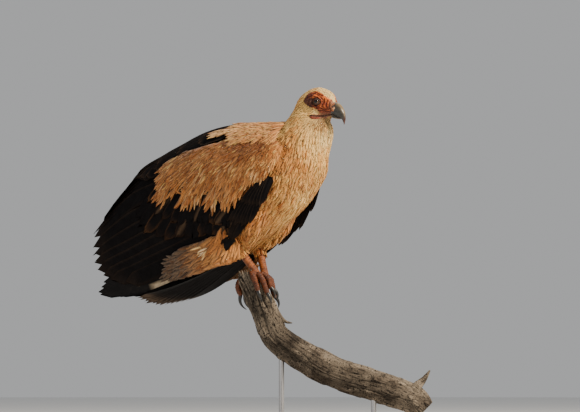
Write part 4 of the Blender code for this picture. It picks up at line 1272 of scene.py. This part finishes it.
def make_eye(side_name, sign, glass, lid_skin):
    """An eyeball with its bulging cornea and iris, and the lids round it."""
    centre = np.array((EYE_PLACE[0], sign * EYE_PLACE[1], EYE_PLACE[2]))
    axis = unit(np.array((0.30, sign, 0.02)))
    side = unit(np.cross(axis, (0, 0, 1)))
    up = np.cross(side, axis)
    c, s = circle(48)
    around = c[:, None] * side + s[:, None] * up
    rings, tints = [], []
    for polar in np.radians(np.concatenate([np.linspace(0.5, 60, 40), np.linspace(64, 178, 22)])):
        bulge = 0.55 * float(1 - smoothstep(0, 0.85, polar))
        rings.append(centre + (EYE_RADIUS + bulge) * (math.cos(polar) * axis + math.sin(polar) * around))
        degrees = math.degrees(polar)
        iris = float(smoothstep(24, 27, degrees) * (1 - smoothstep(50, 54, degrees)))
        glow = 0.6 + 0.4 * math.sin((degrees - 20) / 8)
        tints.append(np.tile(np.array((0.060, 0.026, 0.010)) * iris * glow + 0.002, (48, 1)))
    tube_piece(f"eyeball_{side_name}", np.array(rings), tints, glass, "eye", f"eye_{side_name}")

    # The lids: a thick rim round a slightly almond opening
    rim, radii = [], []
    around = np.linspace(0, 2 * math.pi, 60, endpoint=False)
    for a in around:
        upper = max(0.0, math.sin(a))
        polar = math.radians(62 - 35 * upper - 17 * max(0.0, -math.sin(a)) - 7 * upper * math.cos(a))
        way = math.cos(polar) * axis + math.sin(polar) * (math.cos(a) * side + math.sin(a) * up)
        rim.append(centre + (EYE_RADIUS + 0.75) * way)
        radii.append(0.85 + 0.6 * upper)
    rim = np.array(rim)
    ahead = unit(np.roll(rim, -1, axis=0) - np.roll(rim, 1, axis=0))
    outward = unit(rim - centre)
    across = np.cross(ahead, outward)
    c, s = circle(12)
    ring = c[None, :, None] * outward[:, None] * 0.75 + s[None, :, None] * across[:, None] * 1.2
    grid = rim[:, None] + ring * np.array(radii)[:, None, None]
    lit = 0.06 + 0.80 * smoothstep(-0.4, 0.8, np.cos(around - 0.6))
    outer = smoothstep(-0.2, 0.9, -c)[None, :] * lit[:, None]
    tint = blend((0.030, 0.012, 0.008), (0.34, 0.070, 0.016), outer)
    points, quads = facing_out(grid.reshape(-1, 3), grid_quads(60, 12, True, looped=True))
    dress(build(f"eyelids_{side_name}", points, quads, lid_skin, tint), "skin_and_down")


def heading(forward, left, up):
    """A point given along the branch's heading, to its left and up."""
    c, s = math.cos(VIEW_TURN), math.sin(VIEW_TURN)
    return np.array((forward * c - left * s, forward * s + left * c, up))


STUB_TOP = heading(*BRANCH[0][:3])
STUB_DOWN = unit(heading(*BRANCH[2][:3]) - STUB_TOP)
STUB_FAR = heading(0, 1, 0)
STUB_FRONT = unit(np.cross(STUB_FAR, STUB_DOWN))
STUB_FRONT = STUB_FRONT * math.copysign(1, STUB_FRONT[0])
STUB_RADIUS = BRANCH[0][3]
TOES = {
    "left": [(2, -2, -6, 27), (3, 27, 24, 38), (4, 58, 62, 32)],
    "right": [(2, -30, -30, 26), (3, -58, -57, 37), (4, -84, -86, 33)],
}
BACK_TOES = {"left": 138, "right": 172}


def stub_point(down, degrees, out):
    """A point round the branch's tip: 0 degrees is its front, 90 its left, out is from its centre line."""
    a = math.radians(degrees)
    return STUB_TOP + STUB_DOWN * down + out * (math.cos(a) * STUB_FRONT + math.sin(a) * STUB_FAR)


def rim_drop(degrees):
    """How far down the broken rim lies: a knob stands up at 235 degrees, and the feet's side is low."""
    knob = max(0.0, math.cos(math.radians(degrees - 235))) ** 3
    worn = max(0.0, math.cos(math.radians(degrees - 55)))
    return 7 * worn - 15 * knob


def toe_paths(side):
    """(number, centre line, radii, claw's centre line) of each toe of one foot."""
    hub = np.array(HUBS[side], float)
    rest = STUB_RADIUS + 0.95 * TOE_RADIUS
    found = []
    for number, over, last, reach in TOES[side]:
        edge = rim_drop(over)
        points = [hub, stub_point(edge - 4.6, over, rest - 5.5)]
        for share in evenly(5)[1:]:
            knuckle = 1.4 * math.sin(math.pi * share * 3) ** 2
            turn = over + (last - over) * share
            points.append(stub_point(edge + reach * (share - 0.12), turn, rest + knuckle))
        end = edge + reach * 0.88
        hook = ((-2, 0.6), (5, 3.4), (12, 3.0), (18, -0.4))
        claw = [stub_point(end + down, last, rest + out) for down, out in hook]
        found.append((number, points, (1.15, 1.1, 1.0, 0.95, 0.88, 0.74), claw))
    over = BACK_TOES[side]
    edge = min(rim_drop(over), 0) - 4
    lip = stub_point(edge - 2, over, 20)
    points = [hub, hub + (lip - hub) * 0.55, lip]
    points += [stub_point(edge + down, over, rest + out) for down, out in ((5, 0.8), (14, 2), (22, 1.5))]
    hook = ((21, 2), (30, 6), (39, 5.5), (48, 0.5))
    claw = [stub_point(edge + down, over, rest + out) for down, out in hook]
    found.append((1, points, (1.15, 1.1, 1.05, 1.0, 0.95, 0.8), claw))
    return found


# The toes' tint over the scales' colour, darker and browner than the shanks: partly their own colour and
# partly painted shade
TOE_TINT_AND_SHADE = (0.45, 0.37, 0.27)


def scuted(grid, outward, period, depth):
    """Rings of a toe or shank with a row of overlapping plates along its outer side, and their tints."""
    centres = grid.mean(axis=1)
    along = np.concatenate([[0], np.cumsum(np.linalg.norm(np.diff(centres, axis=0), axis=1))])
    arm = grid - centres[:, None]
    facing = np.clip((unit(arm) * unit(outward)).sum(axis=-1), 0, 1) ** 0.7
    plate = (along / period) % 1
    seam = np.exp(-((np.minimum(plate, 1 - plate)) / 0.13) ** 2)
    step = depth * (0.5 - plate - 0.9 * seam)
    tint = 1 - 0.62 * facing * seam[:, None]
    rings = centres[:, None] + arm + unit(arm) * (facing * step[:, None])[..., None]
    return rings, np.repeat(tint[..., None], 3, axis=2)


def make_legs(scales, horn):
    """The shanks, and the toes and claws that hold the branch."""
    for side, sign in SIDES.items():
        heel, hub = np.array(HEEL, float) * (1, sign, 1), np.array(HUBS[side], float)
        swell = through(list(zip((0, 0.12, 0.35, 0.65, 0.86, 1), (1.15, 1.08, 0.95, 0.92, 1.0, 1.12))))
        shares = np.linspace(0, 0.98, 110)
        centres = heel + (hub - heel) * shares[:, None]
        grid = tube_grid(centres, TARSUS_RADIUS * samples(swell, shares)[:, 0], 28, (1, 0, 0))
        plated = scuted(grid, np.array((0.9, -0.5 * sign, 0.2)), 4.6, 1.0)
        tube_piece(f"shank_{side}", *plated, scales, "scaly_skin", f"tarsus_{side}")

        parts = []
        for number, path, radii, claw in toe_paths(side):
            shares = np.linspace(0, 1, 84)
            centres = samples(curve(path), shares)
            knuckles = 0.93 + 0.09 * np.sin(math.pi * (3 * shares + 0.1)) ** 2
            wide = TOE_RADIUS * samples(curve(radii), shares)[:, 0] * knuckles
            grid = tube_grid(centres, wide, 22, STUB_FAR)
            lift = centres - (STUB_TOP + np.outer((centres - STUB_TOP) @ STUB_DOWN, STUB_DOWN))
            grid, tint = scuted(grid, unit(lift)[:, None] - 0.25 * STUB_DOWN, 3.4, 0.7)
            parts.append([*capped(grid), capped_tint(tint) * np.array(TOE_TINT_AND_SHADE)])
            shares = np.linspace(0, 1, 26)
            taper = CLAW_RADIUS * (1 - shares) ** 0.75 + 0.3
            grid = tube_grid(samples(curve(claw), shares), taper, 16, STUB_FAR)
            tint = np.full(grid.shape, 0.016)
            tube_piece(f"claw_{side}_{number}_horn", grid, tint, horn, "horn", f"claw_{side}_{number}")
        along = np.outer(np.linspace(-1, 1, 12), (0, 0, 1))
        radii = np.sqrt(np.clip(1 - np.linspace(-0.99, 0.99, 12) ** 2, 0, 1))
        points, quads = capped(hub + tube_grid(along, radii, 20, (1, 0, 0)) * TOE_RADIUS * 1.45)
        parts.append([points, quads, np.tile(TOE_TINT_AND_SHADE, (len(points), 1))])
        points, quads, tint = joined(parts)
        dress(build(f"toes_{side}", points, quads, scales, tint), "scaly_skin", f"foot_{side}")


# ---- Branch and stand ----
def bark_object(name, limbs, finish, *nodes):
    """One piece of wood from (grid, places on the bark, shade) sets."""
    parts = []
    for grid, places, shade in limbs:
        rings = [places[0] * 0.5, places[0] * 0.9, *places, places[-1], places[-1]]
        tint = capped_tint(np.repeat(np.asarray(shade)[..., None], 3, axis=2))
        parts.append([*capped(grid), tint, np.concatenate(rings)])
    points, quads, tint, where = joined(parts)
    obj = build(name, points, quads, finish, tint)
    layer = obj.data.attributes.new("Bark", "FLOAT_VECTOR", "POINT")
    layer.data.foreach_set("vector", where.astype(np.float32).ravel())
    return dress(obj, "dead_wood", *nodes)


def bark_places(sides, along):
    """Places in the wood's grain for the rings of a round limb, from how far along it each ring lies."""
    return [np.stack([*circle(sides), np.full(sides, far)], axis=1) for far in along]


def make_shards(bark):
    """Split slivers of wood that stand up round the broken knob, clear of the toes."""
    limbs = []
    for _ in range(52):
        degrees = CHANCE.uniform(186, 276) if CHANCE.random() < 0.85 else CHANCE.uniform(92, 122)
        rim = rim_drop(degrees)
        drift = CHANCE.uniform(-7, 7)
        low, high = rim + CHANCE.uniform(16, 36), rim - CHANCE.uniform(1, 9)
        lean = CHANCE.uniform(-0.5, 3.0)
        route = curve([
            stub_point(low, degrees, STUB_RADIUS - 2.0),
            stub_point(rim + 8, degrees + drift, STUB_RADIUS + 0.4),
            stub_point(high, degrees + 1.6 * drift, STUB_RADIUS + lean - 1.0),
        ])
        shares = np.linspace(0, 1, 18)
        radii = CHANCE.uniform(1.1, 2.7) * np.sqrt(np.clip(np.sin(math.pi * (0.06 + 0.93 * shares)), 0.02, 1))
        grid = tube_grid(samples(route, shares), radii, 10, (0, 0, 1))
        places = bark_places(10, CHANCE.uniform(0, 60) + 3 * shares)
        limbs.append((grid, places, np.full((18, 10), CHANCE.uniform(0.22, 1.0) ** 2 * 1.9)))
    bark_object("knob_slivers", limbs, bark)


def branch_axes(centre_at, share):
    """The branch's own directions at a share of its length: along it, and its front across that."""
    ahead = unit(heading(*centre_at(share + 0.1)[:3]) - heading(*centre_at(share - 0.1)[:3]))
    front = unit(np.cross(STUB_FAR, ahead))
    return ahead, -front if front[2] < 0 and front[0] < 0 else front


def bark_relief(a, length, ridging, top_end):
    """(distance from the centre line, shade) of dead wood with fibres, cracks, knots and lifted flakes."""
    c, s = math.cos(a), math.sin(a)
    place = Vector((2.2 * c, 2.2 * s, length * 0.010))
    fibre = noise.fractal(place * 2.0, 0.8, 2.0, 4)
    crack = max(0.0, 0.10 - abs(noise.noise(place * 1.1 + Vector((5, 2, 0))))) * 10
    check = Vector((3.4 * c, 3.4 * s, length * 0.007))
    split = max(0.0, 1 - abs(noise.noise(check)) / 0.045) * (0.4 + 0.6 * abs(noise.noise(check * 0.7)) * 2)
    flake = noise.noise(Vector((2.6 * c, 2.6 * s, length * 0.03))) + 0.20 * top_end
    lifted = max(0.0, min(1.0, (flake - 0.22) * 12))
    knot = noise.noise(Vector((c, s, length * 0.02)) * 1.7)
    out = ridging - 1.1 + 0.75 * fibre + 0.9 * knot - 1.5 * crack
    out += (1.3 + 0.9 * top_end) * lifted - (3.0 + 1.6 * top_end) * split
    edge_of_flake = 4 * lifted * (1 - lifted)
    # Painted shade in the cracks and splits and along the lifted flakes' edges
    shade = (1 - 0.88 * min(1.0, split)) * (1 - 0.45 * crack) * (1 - (0.55 + 0.35 * top_end) * edge_of_flake)
    shade *= 1 + 1.1 * top_end * (fibre + 0.4 * lifted - 0.48)
    return out, shade * (0.8 + 0.35 * lifted)


def make_branch(bark):
    """The branch with its broken knob, its slivers, the twig and the splinter."""
    centre_at = through([(i, *row) for i, row in enumerate(BRANCH)])
    rings, places, shades = [], [], []
    rows, sides = 320, 160
    length, before = 0.0, None
    for k in range(-6, rows):
        down = max(k, 0)
        share = down / (rows - 1) * (len(BRANCH) - 1)
        forward, left, up, radius = centre_at(share)
        ahead, front = branch_axes(centre_at, share)
        centre = heading(forward, left, up)
        length += 0 if before is None else float(np.linalg.norm(centre - before))
        before = centre
        ring, where, shade = [], [], []
        for i in range(sides):
            a = 2 * math.pi * i / sides
            c, s = math.cos(a), math.sin(a)
            ridge = 1 + 0.035 * math.sin(3 * a + share) + 0.03 * math.sin(5 * a - 1.7 * share)
            out, dark = bark_relief(a, length, radius * ridge, math.exp(-down / 26))
            # Darker towards the top end, and painted shade on the branch's right side
            shade.append(dark * (1 - 0.45 * math.exp(-down / 60)) * (1 - 0.3 * max(0.0, -s)))
            shaggy = noise.noise(Vector((c, s, 1)) * 9) * 1.6
            if k < 0:
                inward = 1 + k / 6.5
                out *= inward
                ragged = noise.noise(Vector((c, s, 0)) * 3.5 * inward) * 5
                drop = rim_drop(math.degrees(a)) * (0.75 + 0.25 * inward) + ragged * (1 - inward)
                here = centre + ahead * (drop + 2.5 * (1 - inward) + shaggy)
            else:
                here = centre + ahead * (rim_drop(math.degrees(a)) + shaggy) * math.exp(-k / 8)
            ring.append(here + out * (c * front + s * STUB_FAR))
            where.append((3.6 * c, 3.6 * s, length * 0.1))
        rings.append(ring)
        places.append(np.array(where))
        shades.append(shade)
    bark_object("branch_wood", [(np.array(rings), places, shades)], bark, "perch_branch")
    make_shards(bark)
    for limb, path, radii in (
        ("twig", [(262, -6, -188), (269, -6, -175), (280, -6, -164), (291, -6, -148)], (11, 8.5, 5, 1.2)),
        ("splinter", [(32, 0, -50), (40, 0, -60), (48, 0, -66), (58, 0, -68)], (4.5, 3.6, 2.4, 0.9)),
    ):
        shares = np.linspace(0, 1, 40)
        centres = samples(curve([heading(*p) for p in path]), shares)
        grid = tube_grid(centres, samples(curve(radii), shares)[:, 0], 32, (0, 0, 1))
        places = bark_places(32, shares * 5)
        rough = np.array([
            [noise.fractal(Vector((1.5 * x, 1.5 * y, far * 0.6)), 0.8, 2.0, 4) for x, y, far in ring]
            for ring in places
        ])
        centres = grid.mean(axis=1, keepdims=True)
        grid = centres + (grid - centres) * (1 + 0.16 * rough[..., None])
        bark_object(f"{limb}_wood", [(grid, places, 0.75 + 0.5 * rough)], bark, f"perch_{limb}")


def lathe(name, profile, place, sides, finish, slot, node):
    """A turned piece: its profile runs from the top of its axis down to the bottom, as (radius, height)."""
    profile = np.array(profile, float)
    ring = np.stack([*circle(sides), np.zeros(sides)], axis=1)
    grid = place + profile[:, 0, None, None] * ring + profile[:, 1, None, None] * np.array((0, 0, 1))
    return tube_piece(name, grid, np.ones(grid.shape), finish, slot, node)


def rounded(radius, height, bend, steps=6):
    """The outline of a disc's side with a rounded upper edge."""
    turn = np.linspace(0, math.pi / 2, steps)
    return [(radius - bend + bend * math.sin(t), height - bend + bend * math.cos(t)) for t in turn]


def make_stand(wood, metal):
    """The turned base and the two rods with their collars, by the sizes of their solids."""
    low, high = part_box("stand_base")
    radius, height = (high.x - low.x) / 2 / MM, high.z / MM
    profile = [(radius * s, height) for s in (0.2, 0.6, 0.93)] + rounded(radius, height, 4)
    profile += [(radius, 2), (radius - 2, 0), (radius * 0.5, 0)]
    lathe("base_turned", profile, np.zeros(3) - PERCH, 160, wood, "dark_wood", "stand_base")
    for node in ("stand_rod_front", "stand_rod_rear"):
        low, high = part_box(node)
        foot, head = low.z / MM, high.z / MM
        centre = (low + high) / 2 / MM
        collar = (high.x - low.x) / 2 / MM
        shaft = 4.5
        profile = [(shaft, h) for h in np.linspace(head, foot + 6, 12)] + [
            (shaft + 1.5, foot + 5), (shaft + 5, foot + 4), (collar - 1, foot + 2.6), (collar, foot + 1.2),
            (collar, foot),
        ]
        place = np.array((centre.x, centre.y, 0)) - PERCH
        lathe(node.replace("stand_", "") + "_turned", profile, place, 48, metal, "steel", node)


# ---- Light and camera ----
def area_light(name, place, target, size, energy, colour):
    data = bpy.data.lights.new(name, "AREA")
    data.size = size
    data.energy = energy
    data.color = colour
    lamp = bpy.data.objects.new(name, data)
    lamp.location = place
    lamp.rotation_euler = (Vector(target) - Vector(place)).to_track_quat("-Z", "Y").to_euler()
    bpy.context.scene.collection.objects.link(lamp)


def make_studio():
    turn, rise = VIEW_TURN, VIEW_RISE
    back = Vector((math.sin(turn) * math.cos(rise), -math.cos(turn) * math.cos(rise), math.sin(rise)))
    right = Vector((math.cos(turn), math.sin(turn), 0))
    up = back.cross(right)
    aim = Vector(PERCH * MM) + 0.0544 * right + 0.1309 * up
    data = bpy.data.cameras.new("camera")
    data.sensor_width = 36
    data.lens = LENS
    data.clip_end = 60
    camera = bpy.data.objects.new("camera", data)
    camera.matrix_world = Matrix((
        (right.x, up.x, back.x, 0), (right.y, up.y, back.y, 0), (right.z, up.z, back.z, 0), (0, 0, 0, 1),
    ))
    camera.location = aim + back * CAMERA_DISTANCE
    bpy.context.scene.collection.objects.link(camera)
    bpy.context.scene.camera = camera

    flat = Vector((back.x, back.y, 0)).normalized()
    area_light("key", aim + right * 2.3 + flat * 1.5 + Vector((0, 0, 2.1)), aim, 0.6, 330, (1.0, 0.87, 0.70))
    area_light("fill", aim - right * 2.2 + flat * 1.8 + Vector((0, 0, 0.8)), aim, 2.2, 16, (0.94, 0.97, 1.0))
    area_light("top", aim - flat * 1.2 + Vector((0, 0, 2.2)), aim, 1.8, 30, (1.0, 0.98, 0.95))
    world = bpy.data.worlds.new("studio")
    world.use_nodes = True
    world.node_tree.nodes["Background"].inputs["Color"].default_value = (0.86, 0.87, 0.88, 1)
    world.node_tree.nodes["Background"].inputs["Strength"].default_value = 0.48
    bpy.context.scene.world = world
    bpy.ops.mesh.primitive_circle_add(vertices=96, radius=14, fill_type="NGON", location=(0, 0, 0))
    floor = bpy.context.object
    floor.name = "floor"
    floor.data.materials.append(floor_material())


# ---- Putting it together ----
def make_coat(surface, down):
    """The head's, body's and thighs' feathers, where the wings and the bare face don't cover the skin."""
    here = surface.middles
    ways, lengths = lie_at(here)
    x, y, z = here[:, 0], np.abs(here[:, 1]), here[:, 2]
    shell = samples(wing_row, np.linspace(-344, 94, 220))
    row = np.clip(((x + 344) / 438 * 219).round().astype(int), 0, 219)
    y_top, z_top, y_wide, z_wide, y_low, z_low = shell[row].T
    upper = np.clip((z - z_wide) / (z_top - z_wide), 0, 1)
    fall = np.clip((z_wide - z) / (z_wide - z_low), 0, 1)
    wing_y = np.where(z > z_wide, y_top + (y_wide - y_top) * np.sqrt(1 - upper**2),
                      y_wide - (y_wide - y_low) * fall**1.6)
    under_wing = (x < 82) & (x < 60 - 0.25 * z) & (y > 14) & (y < wing_y - 8)
    under_wing &= (z > z_low + 22) & (z < z_top - 2)
    on_pad = (x < 86) & (y > wing_y - 7) & (z > z_low + 20) & (z < z_top - 4) & (y > 20)
    under_cape = (x < -44) & (upper > 0.84)
    low, pad_top = pad_edges(np.clip(x, -190, 88))
    hidden = (under_wing & (z > low - 20)) | (on_pad & (z > low + 4) & (z < pad_top - 2)) | under_cape
    face = smoothstep(262, 285, z) * smoothstep(60, 95, x) > 0.5
    beak = (x > 150) & (z > 262)
    tips = here + ways * (0.9 * lengths)[:, None]
    over_mouth = face & (line_gap(tips[:, 0], tips[:, 2], GAPE) < 1.6)
    open_skin = ~hidden & (bareness(here) < 0.35) & ~beak & ~over_mouth
    spacing = np.clip(lengths * 0.22, 1.5, 5.2)
    thigh = (np.abs(x - 2) < 44) & (y > 20) & (z < 112) & (z > 40) & open_skin & ~face
    rest = open_skin & ~face & ~thigh
    # Each with its feathers' length, width and rise, as shares, and how many grow from one place
    for name, keep, *shape in (
        ("coat_head", open_skin & face, 0.95, 0.40, 0.10, 1),
        ("coat_neck", rest & (z > 225) & (x > 30), 1.0, 0.33, 0.066, 2),
        ("coat_breast", rest & (x > 55) & (z <= 225), 1.0, 0.31, 0.074, 2),
        ("coat_belly", rest & (x <= 55) & (z <= 130), 1.05, 0.28, 0.09, 2),
        ("coat_back", rest & (((x <= 55) & (z > 130)) | ((x <= 30) & (z > 225))), 1.0, 0.30, 0.09, 2),
        ("coat_thighs", thigh, 1.15, 0.24, 0.15, 2),
    ):
        coat_piece(name, down, "down", [grown(surface, keep, spacing, *shape)])


# Gaps between the bunches of long coverts: x and height of each gap's point, and its width at the edge
NOTCHES = [
    (-115, 170, 17), (-53, 161, 14), (-22, 150, 11), (-139, 168, 9), (-75, 150, 7), (-8, 142, 8),
    (-95, 146, 6),
]
# Outlines in x and z: the flank's loose feathers, and the dark gap between the coverts and the mantle
FLANK = [
    (0, 62), (-13, 84), (-23, 91), (-36, 77), (-61, 69), (-94, 57), (-126, 38), (-128, 20), (-48, 30),
    (-14, 38),
]
DARK_PATCH = [(-90, 233), (-62, 236), (-36, 241), (-26, 250), (-58, 252), (-88, 247)]


def clear_of_notches(x, z, ways, lengths):
    """Which coverts leave the gaps between the bunches, and the dark patch, open."""
    def at(reach):
        return x + reach * ways[:, 0] * lengths, z + reach * ways[:, 2] * lengths

    covered = within_outline(x, z, DARK_PATCH) | within_outline(*at(0.45), DARK_PATCH)
    for far_x, far_z in (at(0.72), at(1.0)):
        for notch_x, notch_z, wide in NOTCHES:
            below = notch_z - far_z
            gap = wide * np.clip(below / 34, 0, 1)
            covered |= (below > 0) & (np.abs(far_x - notch_x + below * 0.35) < gap)
    return ~covered


def make_wing_coats(surface, down):
    """The coverts, the mantle over them and the flank's loose feathers, on both sides."""
    for side_name, sign in SIDES.items():
        ground = wing_ground(sign, surface)
        x, z = ground.middles[:, 0], ground.middles[:, 2]
        low, top = pad_edges(x)
        ways, lengths = lie_at(ground.middles)
        drop = lengths * np.abs(ways[:, 2]) * 0.86
        keep = (x > -158) & (x < 88) & (z > low + drop) & (z < top + 3)
        keep &= clear_of_notches(x, z, ways, lengths)
        coverts = grown(ground, keep, np.clip(lengths * 0.165, 2.3, 4.6), 1.05, 0.21, 0.085, 2, spread=0.30,
                        colour=covert_colour, pale=0.06)
        coat_piece(f"coverts_{side_name}", down, "down", [coverts], f"wing_{side_name}_coverts")

        ground = wing_ground(sign, surface, over=3.6)
        x, z = ground.middles[:, 0], ground.middles[:, 2]
        angle = np.array([at_height(v, w) for v, w in zip(x, z)])
        ways, lengths = lie_at(ground.middles)
        tip_x = x + 1.2 * ways[:, 0] * lengths
        cream = smoothstep(18.5, 21, angle) * (1 - smoothstep(25, 28, angle))
        keep = (x < 74) & (angle < samples(COVERT_TOP, x)[:, 0] + 2)
        keep &= tip_x > -38 - 38 * cream + 13 * smoothstep(27, 30, angle)
        mantle = grown(ground, keep, 4.2, 1.25, 0.24, 0.06, 2, colour=mantle_colour, pale=0.15)
        coat_piece(f"mantle_{side_name}", down, "down", [mantle])

        ground = wing_ground(sign, surface)
        x, z = ground.middles[:, 0], ground.middles[:, 2]
        keep = within_outline(x, z, FLANK) & (x < (-42 if sign > 0 else 30))
        parts = [grown(ground, keep, 4.4, 1.45, 0.20, 0.085, 2, spread=0.35, colour=flank_colour_and_shade, pale=0.0)]
        tuft = CHANCE.choice(np.flatnonzero(np.hypot(x + 58, z - 58) < 6), 4)
        parts.append(vanes(ground, tuft, 1.0, 0.17, 0.50, 2, spread=0.7, colour=tuft_colour, pale=0.5,
                           lie=tuft_lie))
        # In front, the flank turns in to the leg
        for points, *_ in parts:
            tuck = smoothstep(-58, 0, points[:, 0]) * (1 - smoothstep(64, 84, points[:, 2]))
            points[:, 1] *= 1 - 0.30 * tuck
        coat_piece(f"flank_{side_name}", down, "down", parts)


def make_cuffs(surface, down):
    """The long feathers that hang over the top of each shank."""
    parts = []
    for side, sign in SIDES.items():
        ground, way = cuff_ground(sign, HUBS[side], surface)

        def hanging(places, way=way):
            return np.tile(way, (len(places), 1)), np.full(len(places), 19.0)

        below_heel = (ground.middles - np.array(HEEL, float) * (1, sign, 1)) @ way
        ragged = np.array([noise.noise(Vector(p) / 5) for p in ground.middles])
        keep = below_heel < 2 + 14 * ragged
        parts.append(grown(ground, keep, 3.4, 1.0, 0.24, 0.10, 2, colour=cuff_colour, lie=hanging))
    coat_piece("coat_cuffs", down, "down", parts)


def cuff_colour(places):
    patchy = np.array([noise.noise(Vector(p) / 9) for p in places])
    return blend((0.36, 0.135, 0.038), BUFF, smoothstep(-0.3, 0.4, patchy))


def covert_colour(places):
    """The coverts' tan, with paler and browner streaks that run down through several feathers."""
    streak = np.array([
        noise.noise(Vector(((x * 0.92 + z * 0.40) / 4.6, 3.0 * (y > 0), (z * 0.92 - x * 0.40) / 34)))
        for x, y, z in places
    ])
    low = 1 - smoothstep(175, 222, places[:, 2])
    pale = (0.15 + 0.55 * low) * smoothstep(0.05, 0.42, streak)
    brown = 0.7 * smoothstep(0.05, 0.35, -streak)
    base = blend(coat_colour(places), (0.62, 0.37, 0.165), pale)
    return base * (1 - brown[:, None] * np.array((0.42, 0.52, 0.58)))


def mantle_colour(places):
    return blend((0.62, 0.36, 0.16), (0.56, 0.26, 0.085), smoothstep(-60, 20, places[:, 0]))


# The flank's colour, darkened towards the rear as painted shade under the wing
def flank_colour_and_shade(places):
    return blend((0.105, 0.066, 0.040), (0.43, 0.185, 0.052), smoothstep(-100, -12, places[:, 0]))


def tuft_lie(places):
    return np.tile(unit(np.array((-0.78, 0.0, -0.62))), (len(places), 1)), np.full(len(places), 19.0)


def tuft_colour(places):
    return np.broadcast_to((0.74, 0.54, 0.32), places.shape)


def main():
    down, skin, eye = coat_material(), skin_material(), eye_material()
    black, pale = flight_material("black_vanes", 0.78, 0.02), flight_material("pale_vanes", 0.7, 0.06)
    horn = horn_material("horn", 0.72, 1.25, 0.36)
    surface = make_skin(skin)
    make_coat(surface, down)
    make_wing_coats(surface, down)
    make_cuffs(surface, down)
    for side, sign in SIDES.items():
        make_wing(side, sign, black, pale)
        make_eye(side, sign, eye, skin)
    make_tail(black)
    make_bill(horn)
    make_legs(scale_material(), horn)
    make_branch(bark_material())
    make_stand(polished_wood(), steel())
    make_studio()


main()
